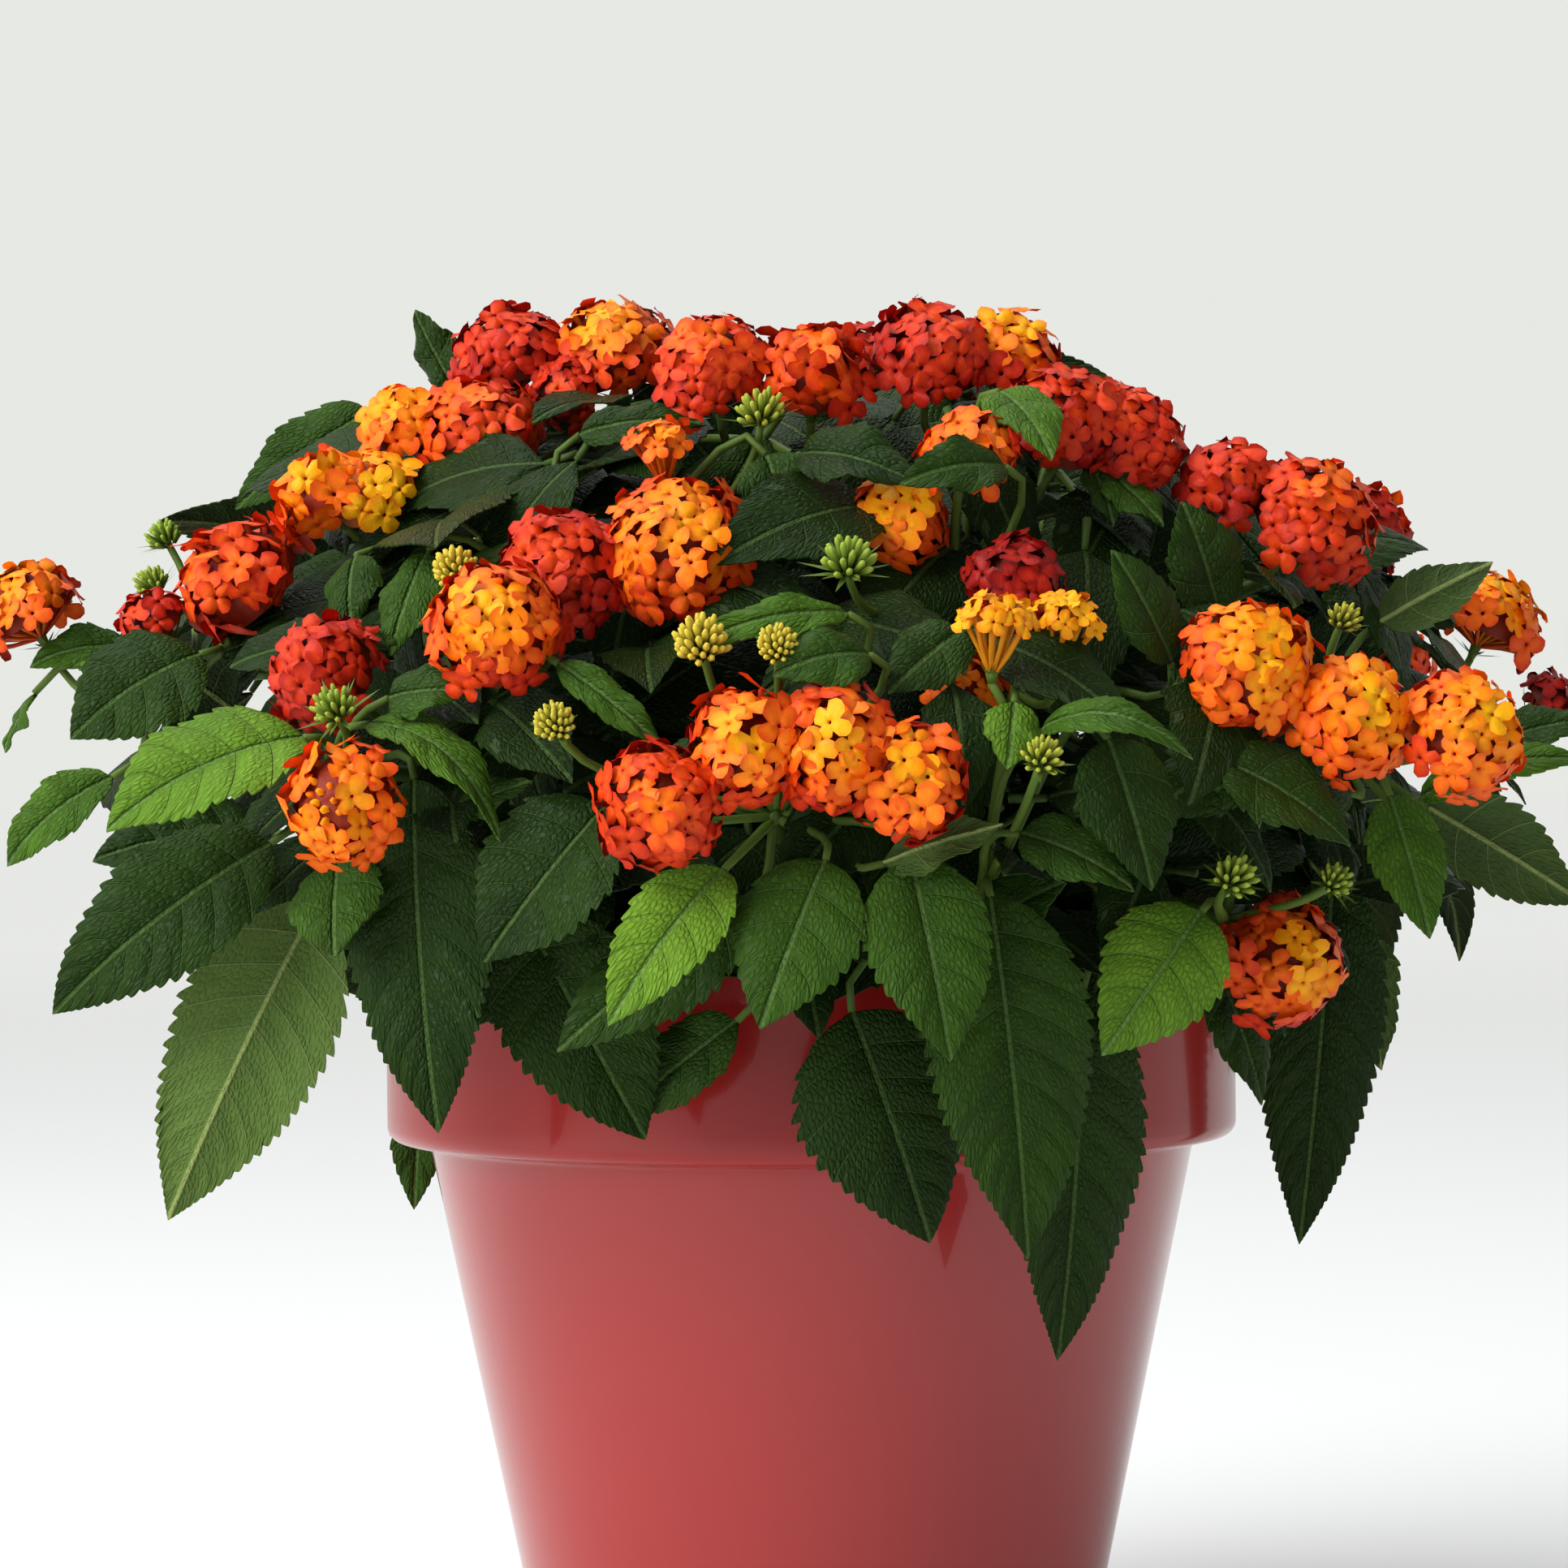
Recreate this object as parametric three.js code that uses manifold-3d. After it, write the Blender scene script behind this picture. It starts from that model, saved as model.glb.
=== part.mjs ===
// A lantana in full flower, grown in a round glossy pot with a tall collar.
// Millimetres, +Z up. The origin is the middle of the pot's foot, and the plant's front faces -Y.

import * as THREE from 'three';
import { ConvexHull } from 'three/addons/math/ConvexHull.js';
import * as BufferGeometryUtils from 'three/addons/utils/BufferGeometryUtils.js';
import Module from 'manifold-3d';

const wasm = await Module();
wasm.setup();

// ---------------------------------------------------------------- driving sizes

const POT = { height: 185, rimRadius: 100, collar: 52, neckRadius: 90, footRadius: 63, wall: 4, floor: 6 };
const POT_SIDES = 36;
const DRAIN = { count: 4, radius: 6, fromAxis: 38 };
const SOIL = { top: 170, crown: 5, rings: 3, grain: 1.4, sides: 18 };
const TRUNK = { radius: 6.5, foot: 138, top: 192, sides: 8, steps: 2 };
const BRANCH = { radius: 3, part: 0.26, sides: 4, steps: 2, sunk: 7, bow: 22, bowAt: 0.45 };
const STEM = { radius: 2.2, sides: 3, steps: 5 };
const STALK = { radius: 1, sides: 3, steps: 2, length: 30 };
const PETIOLE = { radius: 1, sides: 3, length: 16 };
const BLADE = { rib: 1.5, slant: 0.5, fullness: 0.62, point: 1.0 };
const HEAD = { florets: 8, cap: 98, lobe: 0.47, tip: 1.04, cup: 0.8, gap: 0.6, seat: 0.62 };
const FUNNEL = { florets: 7, cap: 66, lobe: 0.36, tip: 1.04, cup: 0.84, gap: 0.68, seat: 1.05 };
const BUDS = { florets: 9, cap: 120, lobe: 0, tip: 1, cup: 1, gap: 0, seat: 0.6 };
const FRONT_LEAF = { sunk: 18, arch: 0.04, broad: 20, faceFrom: 60, faceUp: 0.7 };
const HEAD_FACES_FROM = 25;
const CLEAR = 0.3;
const WAYS = { stems: 6, bends: 14, push: 0.035 };
const NOWHERE = -1;

// Places on the plant's front are named as they look to someone who stands EYE.distance in front of
// the pot's axis with their eye EYE.height up: u runs to the right and w runs up, both measured in the
// upright plane through the axis.
const EYE = { distance: 1150, height: 217 };

// The plant's outline: how far its leaves reach from the axis at each height.
const OUTLINE = [
  [330, 62], [306, 103], [287, 130], [268, 150], [245, 176], [217, 188],
  [190, 170], [165, 148], [130, 128], [90, 120],
];

// Every leafy shoot ends at an angle round the axis (0 is the front, + is to the right), a reach and a
// height. Its own leaf pairs are numbered down from its end.
const SHOOTS = [
  { name: 'left', angle: -74, reach: 158, height: 236, pairs: [] },
  { name: 'left_front', angle: -44, reach: 150, height: 220, pairs: [] },
  { name: 'low_left', angle: -27, reach: 132, height: 196, pairs: [] },
  { name: 'top_left', angle: -60, reach: 94, height: 286, pairs: [0, 1] },
  { name: 'mid_left', angle: -26, reach: 114, height: 254, pairs: [1] },
  { name: 'top_middle', angle: -14, reach: 44, height: 296, pairs: [1, 2] },
  { name: 'front', angle: -3, reach: 146, height: 210, pairs: [] },
  { name: 'mid_right', angle: 17, reach: 112, height: 248, pairs: [0, 1] },
  { name: 'top_right', angle: 50, reach: 72, height: 290, pairs: [1] },
  { name: 'high_right', angle: 67, reach: 118, height: 264, pairs: [1] },
  { name: 'right_front', angle: 50, reach: 148, height: 228, pairs: [] },
  { name: 'right', angle: 85, reach: 160, height: 234, pairs: [] },
  { name: 'low_right', angle: 40, reach: 140, height: 186, pairs: [] },
  { name: 'low_front', angle: 16, reach: 130, height: 192, pairs: [] },
  { name: 'back_right', angle: 117, reach: 150, height: 222, pairs: [0, 1] },
  { name: 'back_high_right', angle: 140, reach: 112, height: 268, pairs: [0, 1] },
  { name: 'back_middle', angle: 165, reach: 150, height: 216, pairs: [0, 1] },
  { name: 'back_top', angle: -168, reach: 84, height: 286, pairs: [0, 1] },
  { name: 'back_left', angle: -140, reach: 150, height: 224, pairs: [0, 1] },
  { name: 'back_high_left', angle: -112, reach: 126, height: 262, pairs: [0, 1] },
  { name: 'crown_top', angle: 172, reach: 18, height: 300, pairs: [0, 1] },
];

// Leaves of the front: where the blade starts and ends, its width, and how much nearer to the eye its
// tip is. A roll turns the blade about its rib: one of 180 shows the pale underside. An arch lifts the
// middle of the blade by that share of its length.
const FRONT_LEAVES = [
  { from: [-120, 229], to: [-167, 207], wide: 31, out: 12, arch: 0.1 },
  { from: [-105, 232], to: [-74, 204], wide: 15, out: 12, roll: -35, arch: 0.22 },
  { from: [-128, 204], to: [-180, 164], wide: 30, out: 4, roll: -28, arch: 0.1 },
  { from: [-130, 206], to: [-170, 200], wide: 26, out: 2, arch: 0.08, sunk: 34 },
  { from: [-117, 190], to: [-153, 115], wide: 36, out: -6, roll: 150 },
  { from: [-94, 219], to: [-89, 135], wide: 34, out: 4, sunk: 34 },
  { from: [-112, 200], to: [-109, 173], wide: 22, out: 10 },
  { from: [-144, 249], to: [-175, 229], wide: 28, out: 8, roll: -25, arch: 0.1 },
  { from: [-165, 220], to: [-190, 199], wide: 15, out: -4, roll: -30, arch: 0.14 },
  { from: [-160, 250], to: [-184, 246], wide: 13, out: 4, roll: -40, arch: 0.16 },
  { from: [-49, 212], to: [-80, 177], wide: 32, out: 4, sunk: 30 },
  { from: [-21, 197], to: [-49, 160], wide: 21, out: 14, arch: 0.08 },
  { from: [-15, 190], to: [-61, 154], wide: 24, out: 6, sunk: 28 },
  { from: [3, 199], to: [-13, 159], wide: 27, out: 10, arch: 0.06 },
  { from: [9, 163], to: [27, 108], wide: 38, out: -2, sunk: 22 },
  { from: [23, 199], to: [32, 151], wide: 28, out: 6 },
  { from: [42, 190], to: [50, 104], wide: 38, out: 0, sunk: 26 },
  { from: [64, 168], to: [57, 80], wide: 32, out: -6, sunk: 30 },
  { from: [92, 186], to: [68, 152], wide: 27, out: 12, arch: 0.08 },
  { from: [95, 174], to: [106, 140], wide: 18, out: 0, sunk: 30 },
  { from: [124, 195], to: [115, 107], wide: 30, out: -4, roll: 50, sunk: 50 },
  { from: [137, 213], to: [146, 179], wide: 17, out: 8, roll: 30 },
  { from: [146, 210], to: [183, 187], wide: 21, out: -4, roll: 220 },
  { from: [144, 212], to: [186, 220], wide: 13, out: 8, arch: 0.16 },
  { from: [160, 224], to: [186, 230], wide: 14, out: 2, arch: 0.1 },
  { from: [135, 254], to: [162, 268], wide: 14, out: -8, roll: 180 },
  { from: [90, 246], to: [76, 273], wide: 17, out: 6 },
  { from: [97, 255], to: [88, 283], wide: 22, out: 2, sunk: 30 },
  { from: [54, 229], to: [90, 222], wide: 10, out: 10, arch: 0.28 },
  { from: [9, 257], to: [-30, 251], wide: 10, out: 8, arch: 0.14 },
  { from: [-11, 303], to: [-28, 279], wide: 16, out: 12, arch: 0.1 },
  { from: [-2, 295], to: [26, 287], wide: 18, out: 14, arch: 0.12 },
  { from: [-10, 295], to: [-2, 272], wide: 18, out: 12 },
  { from: [43, 283], to: [18, 279], wide: 14, out: 10, arch: 0.12 },
  { from: [-103, 306], to: [-135, 283], wide: 18, out: -8, roll: -35, arch: 0.06 },
  { from: [-83, 312], to: [-92, 330], wide: 13, out: -2 },
  { from: [-107, 272], to: [-108, 254], wide: 14, out: 8, arch: 0.1 },
  { from: [-90, 273], to: [-99, 248], wide: 15, out: 8, arch: 0.06 },
  { from: [-100, 238], to: [-81, 239], wide: 14, out: 6, arch: 0.1 },
  { from: [-59, 280], to: [-83, 276], wide: 14, out: 6, arch: 0.1 },
  { from: [13, 243], to: [-10, 238], wide: 15, out: 6, arch: 0.14 },
  { from: [36, 253], to: [18, 238], wide: 16, out: 8, arch: 0.08 },
  { from: [70, 227], to: [80, 191], wide: 23, out: 6 },
  { from: [104, 225], to: [79, 212], wide: 17, out: 8, arch: 0.08 },
  { from: [126, 210], to: [90, 204], wide: 17, out: 8, arch: 0.12 },
  { from: [93, 213], to: [124, 195], wide: 24, out: 4, arch: 0.08, sunk: 28 },
  { from: [51, 213], to: [78, 199], wide: 17, out: 6, arch: 0.1 },
  { from: [-68, 186], to: [-40, 133], wide: 34, out: -4, sunk: 34 },
  { from: [-18, 161], to: [-48, 139], wide: 18, out: -2, sunk: 32 },
  { from: [44, 305], to: [55, 284], wide: 17, out: 14, arch: 0.1, sunk: 8 },
  { from: [41, 184], to: [60, 193], wide: 17, out: 6, sunk: 32 },
];

// Flower heads of the front, in bunches that grow into each other: hue, place and radius, and where
// needed how far a head leans out from upright or how much nearer to the eye it stands than its bunch.
// Sunk says how deep the bunch lies under the plant's outline. A funnel is a young head with its tubes
// showing.
const FRONT_BUNCHES = [
  { hue: 'gold', heads: [{ at: [-184, 258], radius: 13.5, lean: 30 }] },
  { hue: 'scarlet', heads: [{ at: [-132, 265], radius: 15.5 }, { at: [-154, 256], radius: 8.5, lean: 50 }] },
  { hue: 'gold', heads: [{ at: [-113.5, 284.5], radius: 11 }, { at: [-103, 285.5], radius: 11 }] },
  { hue: 'scarlet', heads: [{ at: [-94.5, 301], radius: 10 }, { at: [-77, 297.5], radius: 15.5 }] },
  {
    hue: 'scarlet',
    heads: [
      { at: [-69.5, 316.5], radius: 13.5 },
      { at: [-45, 316.5], radius: 15 },
      { at: [-56, 310], radius: 9, lean: 70, out: 8 },
    ],
  },
  { hue: 'scarlet', heads: [{ at: [-21.5, 313.5], radius: 13.5 }, { at: [1, 311], radius: 13 }] },
  {
    hue: 'scarlet',
    heads: [
      { at: [29, 315.5], radius: 14 }, { at: [46.5, 315.5], radius: 13, out: -8 },
      { at: [60, 299.5], radius: 15, out: 10 }, { at: [75.5, 296.5], radius: 12.5, out: 8 },
    ],
  },
  { hue: 'scarlet', heads: [{ at: [98.5, 285.5], radius: 11 }, { at: [117.5, 276.5], radius: 15.5 }] },
  { hue: 'orange', heads: [{ at: [37, 293], radius: 10 }] },
  { hue: 'orange', heads: [{ at: [21, 278.5], radius: 11 }], sunk: 32 },
  { hue: 'crimson', heads: [{ at: [48.5, 263], radius: 11 }], sunk: 26 },
  { hue: 'gold', heads: [{ at: [43.5, 251.5], radius: 9, lean: 20, funnel: true }] },
  { hue: 'gold', heads: [{ at: [60, 251.5], radius: 9, lean: 25, funnel: true }], sunk: 20 },
  { hue: 'orange', heads: [{ at: [36.5, 238], radius: 9 }], sunk: 34 },
  { hue: 'orange', heads: [{ at: [-74, 253], radius: 15 }], sunk: 12 },
  { hue: 'scarlet', heads: [{ at: [-58, 266], radius: 15 }, { at: [-30.5, 270], radius: 17.5 }], sunk: 27 },
  { hue: 'crimson', heads: [{ at: [-113.5, 243], radius: 13 }], sunk: 26 },
  { hue: 'gold', heads: [{ at: [-109.5, 213], radius: 13.2, lean: 88 }], sunk: 10 },
  {
    hue: 'orange',
    heads: [
      { at: [-36, 212], radius: 13.5 }, { at: [-15, 225], radius: 13 },
      { at: [5.5, 225], radius: 13.5 }, { at: [22.5, 217.5], radius: 12.5 },
    ],
  },
  {
    hue: 'orange',
    heads: [
      { at: [103, 242.5], radius: 15 },
      { at: [127, 230.5], radius: 13.5 },
      { at: [153, 226.5], radius: 13.5 },
    ],
  },
  { hue: 'gold', heads: [{ at: [160.5, 253], radius: 13, lean: 25 }] },
  { hue: 'crimson', heads: [{ at: [174, 234], radius: 8 }], sunk: 30 },
  { hue: 'orange', heads: [{ at: [109.5, 174], radius: 14.5, lean: 86 }] },
  { hue: 'orange', heads: [{ at: [-35, 295], radius: 8, lean: 30, funnel: true }], sunk: 16 },
];

// Heads of the back and the crown, in bunches that grow into each other: angle round the axis, height, count.
const BACK_BUNCHES = [
  { angle: 102, height: 276, count: 2, hue: 'scarlet' },
  { angle: 116, height: 236, count: 1, hue: 'orange' },
  { angle: 134, height: 304, count: 2, hue: 'scarlet' },
  { angle: 147, height: 256, count: 1, hue: 'gold' },
  { angle: 166, height: 218, count: 2, hue: 'scarlet' },
  { angle: 176, height: 288, count: 2, hue: 'orange' },
  { angle: -164, height: 250, count: 2, hue: 'crimson' },
  { angle: -148, height: 286, count: 2, hue: 'scarlet' },
  { angle: -134, height: 228, count: 1, hue: 'orange' },
  { angle: -116, height: 262, count: 2, hue: 'gold' },
  { angle: 170, height: 314, count: 2, hue: 'scarlet' },
  { angle: -122, height: 306, count: 2, hue: 'orange' },
];

// Green bud clusters: place and radius.
const BUD_CLUSTERS = [
  { at: [-11, 305.5], radius: 5.5 },
  { at: [-26, 251], radius: 6 },
  { at: [-84, 269], radius: 5 },
  { at: [-152, 277], radius: 4.6 },
  { at: [-155, 266], radius: 4.6 },
  { at: [-113, 236], radius: 5 },
  { at: [100, 194], radius: 5 },
  { at: [9, 270], radius: 6 },
  { at: [54.5, 223], radius: 4.5 },
];

// Leaf pairs up each shoot, counted back from its end: their spacing as a share of the stem, and blade
// lengths.
const PAIRS = { spacing: 0.2, shortest: 50, longest: 74, petiole: 9, proud: 6 };

// ---------------------------------------------------------------- seeded draws

class Draw {
  constructor(seed) {
    this.state = seed;
  }

  unit() {
    this.state = (this.state * 16807) % 2147483647;
    return this.state / 2147483647;
  }

  between(low, high) {
    return low + (high - low) * this.unit();
  }
}

// ---------------------------------------------------------------- places

const UP = new THREE.Vector3(0, 0, 1);

function degrees(angle) {
  return THREE.MathUtils.degToRad(angle);
}

function atAngle(angle, reach, height) {
  return new THREE.Vector3(reach * Math.sin(degrees(angle)), -reach * Math.cos(degrees(angle)), height);
}

function outlineAt(height) {
  let [highZ, highR] = OUTLINE[0];
  for (const [z, r] of OUTLINE) {
    if (height >= z) {
      const share = highZ === z ? 0 : (height - z) / (highZ - z);
      return r + (highR - r) * Math.min(share, 1);
    }
    [highZ, highR] = [z, r];
  }
  return highR;
}

function seenAt([u, w], depth) {
  const scale = (EYE.distance + depth) / EYE.distance;
  return new THREE.Vector3(u * scale, depth, EYE.height + (w - EYE.height) * scale);
}

// The depth at which a place seen from the front lies in the plant's outline, sunk under it by some mm.
function depthSeen(place, sunk) {
  let depth = -80;
  for (let i = 0; i < 8; i += 1) {
    const point = seenAt(place, depth);
    const reach = Math.max(outlineAt(point.z) - sunk, 1);
    const across = Math.min(Math.abs(point.x), reach);
    depth = 0.5 * (depth - Math.sqrt(reach * reach - across * across));
  }
  return depth;
}

function outwardFrom(point) {
  return new THREE.Vector3(point.x, point.y, 0).normalize();
}

// ---------------------------------------------------------------- solids

function solidOf(geometry) {
  const bare = geometry.clone();
  bare.deleteAttribute('normal');
  bare.deleteAttribute('uv');
  const merged = BufferGeometryUtils.mergeVertices(bare, 1e-4);
  const vertProperties = new Float32Array(merged.attributes.position.array);
  const triVerts = new Uint32Array(merged.index.array);
  return new wasm.Manifold(new wasm.Mesh({ numProp: 3, vertProperties, triVerts }));
}

function meshOf(name, solid, material) {
  const { vertProperties, triVerts } = solid.getMesh();
  const geometry = new THREE.BufferGeometry();
  geometry.setAttribute('position', new THREE.BufferAttribute(vertProperties, 3));
  geometry.setIndex(new THREE.BufferAttribute(triVerts, 1));
  geometry.computeVertexNormals();
  const mesh = new THREE.Mesh(geometry, material);
  mesh.name = name;
  return mesh;
}

function geometryFrom(points, triangles) {
  const geometry = new THREE.BufferGeometry();
  const values = points.flatMap((point) => [point.x, point.y, point.z]);
  geometry.setAttribute('position', new THREE.Float32BufferAttribute(values, 3));
  geometry.setIndex(triangles);
  return geometry;
}

function tube(path, { radius, sides, steps }) {
  const section = new THREE.Shape();
  for (let i = 0; i < sides; i += 1) {
    const turn = (2 * Math.PI * i) / sides;
    const method = i === 0 ? 'moveTo' : 'lineTo';
    section[method](radius * Math.cos(turn), radius * Math.sin(turn));
  }
  const geometry = new THREE.ExtrudeGeometry(section, { steps, extrudePath: path, bevelEnabled: false });
  return solidOf(geometry);
}

// ---------------------------------------------------------------- pot and soil

function potProfile() {
  const neck = POT.height - POT.collar;
  const inside = (outer) => outer - POT.wall;
  const rim = POT.rimRadius;
  const points = [
    [0, 0], [POT.footRadius - 3, 0], [POT.footRadius, 2.5], [POT.neckRadius, neck],
    [rim - 4, neck + 0.8], [rim - 1.2, neck + 2], [rim, neck + 5],
    [rim, POT.height - 3], [rim - 0.8, POT.height - 0.8], [rim - 2.2, POT.height],
    [inside(rim), POT.height - 1.4], [inside(rim), neck + 8], [inside(POT.neckRadius), neck - 2],
    [inside(POT.footRadius), POT.floor], [0, POT.floor],
  ];
  return points.map(([r, z]) => new THREE.Vector2(r, z));
}

function latheSolid(profile, sides) {
  const geometry = new THREE.LatheGeometry(profile, sides);
  geometry.rotateX(Math.PI / 2);
  return solidOf(geometry);
}

function makePot() {
  let pot = latheSolid(potProfile(), POT_SIDES);
  for (let i = 0; i < DRAIN.count; i += 1) {
    const hole = new THREE.CylinderGeometry(DRAIN.radius, DRAIN.radius, 3 * POT.floor, 8);
    hole.rotateX(Math.PI / 2);
    const place = atAngle(45 + (360 * i) / DRAIN.count, DRAIN.fromAxis, POT.floor / 2);
    hole.translate(place.x, place.y, place.z);
    pot = pot.subtract(solidOf(hole));
  }
  return pot;
}

function makeSoil() {
  const neck = POT.height - POT.collar;
  const inner = (r) => r - POT.wall - CLEAR - 0.3;
  const draw = new Draw(2711);
  const wallPoints = [
    [0, POT.floor + CLEAR], [inner(POT.footRadius), POT.floor + CLEAR], [inner(POT.neckRadius), neck - 2],
    [inner(POT.rimRadius), neck + 8 + 2 * CLEAR], [inner(POT.rimRadius), SOIL.top],
  ];
  const topPoints = [];
  for (let i = 1; i <= SOIL.rings; i += 1) {
    const share = i / (SOIL.rings + 1);
    topPoints.push([inner(POT.rimRadius) * (1 - share), SOIL.top + SOIL.crown * share]);
  }
  const profile = [...wallPoints, ...topPoints, [0, SOIL.top + SOIL.crown]];
  const geometry = new THREE.LatheGeometry(profile.map(([r, z]) => new THREE.Vector2(r, z)), SOIL.sides);
  geometry.rotateX(Math.PI / 2);
  geometry.deleteAttribute('normal');
  geometry.deleteAttribute('uv');
  const merged = BufferGeometryUtils.mergeVertices(geometry, 1e-4);
  const position = merged.attributes.position;
  for (let i = 0; i < position.count; i += 1) {
    const lump = draw.between(-SOIL.grain, SOIL.grain);
    if (position.getZ(i) > SOIL.top + 0.1) {
      position.setZ(i, position.getZ(i) + lump);
    }
  }
  const holeRadius = TRUNK.radius + 2 * CLEAR;
  const holeLength = TRUNK.top - TRUNK.foot;
  const hole = new THREE.CylinderGeometry(holeRadius, holeRadius, holeLength, TRUNK.sides);
  hole.rotateX(Math.PI / 2);
  hole.translate(0, 0, TRUNK.foot - CLEAR + holeLength / 2);
  return solidOf(merged).subtract(solidOf(hole));
}

// ---------------------------------------------------------------- woody crown and stems

// One smooth limb runs from the trunk's top to the end of each shoot. Its first part is a woody branch
// of the crown and the rest is the green stem, which goes on in the same line.
function limbOf(shoot) {
  const start = new THREE.Vector3(0, 0, TRUNK.top - BRANCH.sunk);
  const end = atAngle(shoot.angle, shoot.reach, shoot.height);
  const middle = start.clone().lerp(end, BRANCH.bowAt);
  middle.z += BRANCH.bow;
  return new THREE.QuadraticBezierCurve3(start, middle, end);
}

function partOfLimb(limb, from, to) {
  const start = limb.getPoint(from);
  const end = limb.getPoint(to);
  const span = to - from;
  const first = limb.v1.clone().sub(limb.v0).multiplyScalar(2 * (1 - from));
  const second = limb.v2.clone().sub(limb.v1).multiplyScalar(2 * from);
  const middle = start.clone().addScaledVector(first.add(second), span / 2);
  return new THREE.QuadraticBezierCurve3(start, middle, end);
}

function makeCrown(limbs) {
  const foot = new THREE.Vector3(0, 0, TRUNK.foot);
  const head = new THREE.Vector3(0, 0, TRUNK.top);
  const trunk = tube(new THREE.LineCurve3(foot, head), TRUNK);
  const branches = limbs.map((limb) => tube(partOfLimb(limb, 0, BRANCH.part), BRANCH));
  return wasm.Manifold.union([trunk, ...branches]);
}

function stemOf(limb) {
  const gap = CLEAR / limb.getLength();
  return partOfLimb(limb, BRANCH.part + gap, 1);
}

// ---------------------------------------------------------------- leaves

// Half the leaf's width at a share of its length: full near the base and drawn out to a point.
function fullnessAt(share) {
  const widest = BLADE.fullness / (BLADE.fullness + BLADE.point);
  const rise = (share / widest) ** BLADE.fullness;
  const fall = ((1 - share) / (1 - widest)) ** BLADE.point;
  return rise * fall;
}

// The blade's surface: share runs along the rib, and side runs from -1 at one edge over 0 at the rib to 1.
function bladeSurface(leaf) {
  const along = leaf.tip.clone().sub(leaf.base);
  const length = along.length();
  along.normalize();
  const across = along.clone().cross(leaf.face).normalize();
  const facing = across.clone().cross(along).normalize();
  const middle = leaf.base.clone().lerp(leaf.tip, 0.5).addScaledVector(facing, 2 * leaf.arch * length);
  const rib = new THREE.QuadraticBezierCurve3(leaf.base, middle, leaf.tip);
  return (share, side, grown = 1) => {
    const wide = Math.abs(side);
    const place = share + BLADE.slant * wide * share * (1 - share);
    const tangent = rib.getTangent(place);
    const turn = leaf.twist * (place - 0.3);
    const sideways = across.clone().applyAxisAngle(tangent, turn);
    const normal = sideways.clone().cross(tangent).normalize();
    const reach = 0.5 * leaf.wide * fullnessAt(place) * wide * grown;
    const lift = reach * Math.sin(leaf.fold) - leaf.curl * reach * reach / leaf.wide;
    const wave = leaf.wave * wide * wide * Math.sin(14 * place + leaf.phase + (side > 0 ? 0 : 2));
    const point = rib.getPoint(place);
    point.addScaledVector(sideways, Math.sign(side) * reach * Math.cos(leaf.fold));
    point.addScaledVector(normal, lift + wave * Math.min(1, 4 * place * (1 - place)));
    return { point, normal, sideways, heading: tangent };
  };
}

// Triangles between two chains of points that both run from the leaf's base to its tip.
function zipChains(rib, edge, flip, triangles) {
  let onRib = 0;
  let onEdge = 0;
  while (onRib < rib.length - 1 || onEdge < edge.length - 1) {
    const ribNext = onRib < rib.length - 1 ? rib[onRib + 1].share : 2;
    const edgeNext = onEdge < edge.length - 1 ? edge[onEdge + 1].share : 2;
    const stepRib = ribNext < edgeNext;
    const third = stepRib ? rib[onRib + 1] : edge[onEdge + 1];
    const corners = [rib[onRib].index, edge[onEdge].index, third.index];
    if (new Set(corners).size === 3) {
      triangles.push(...(flip ? corners.reverse() : corners));
    }
    onRib += stepRib ? 1 : 0;
    onEdge += stepRib ? 0 : 1;
  }
}

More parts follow.
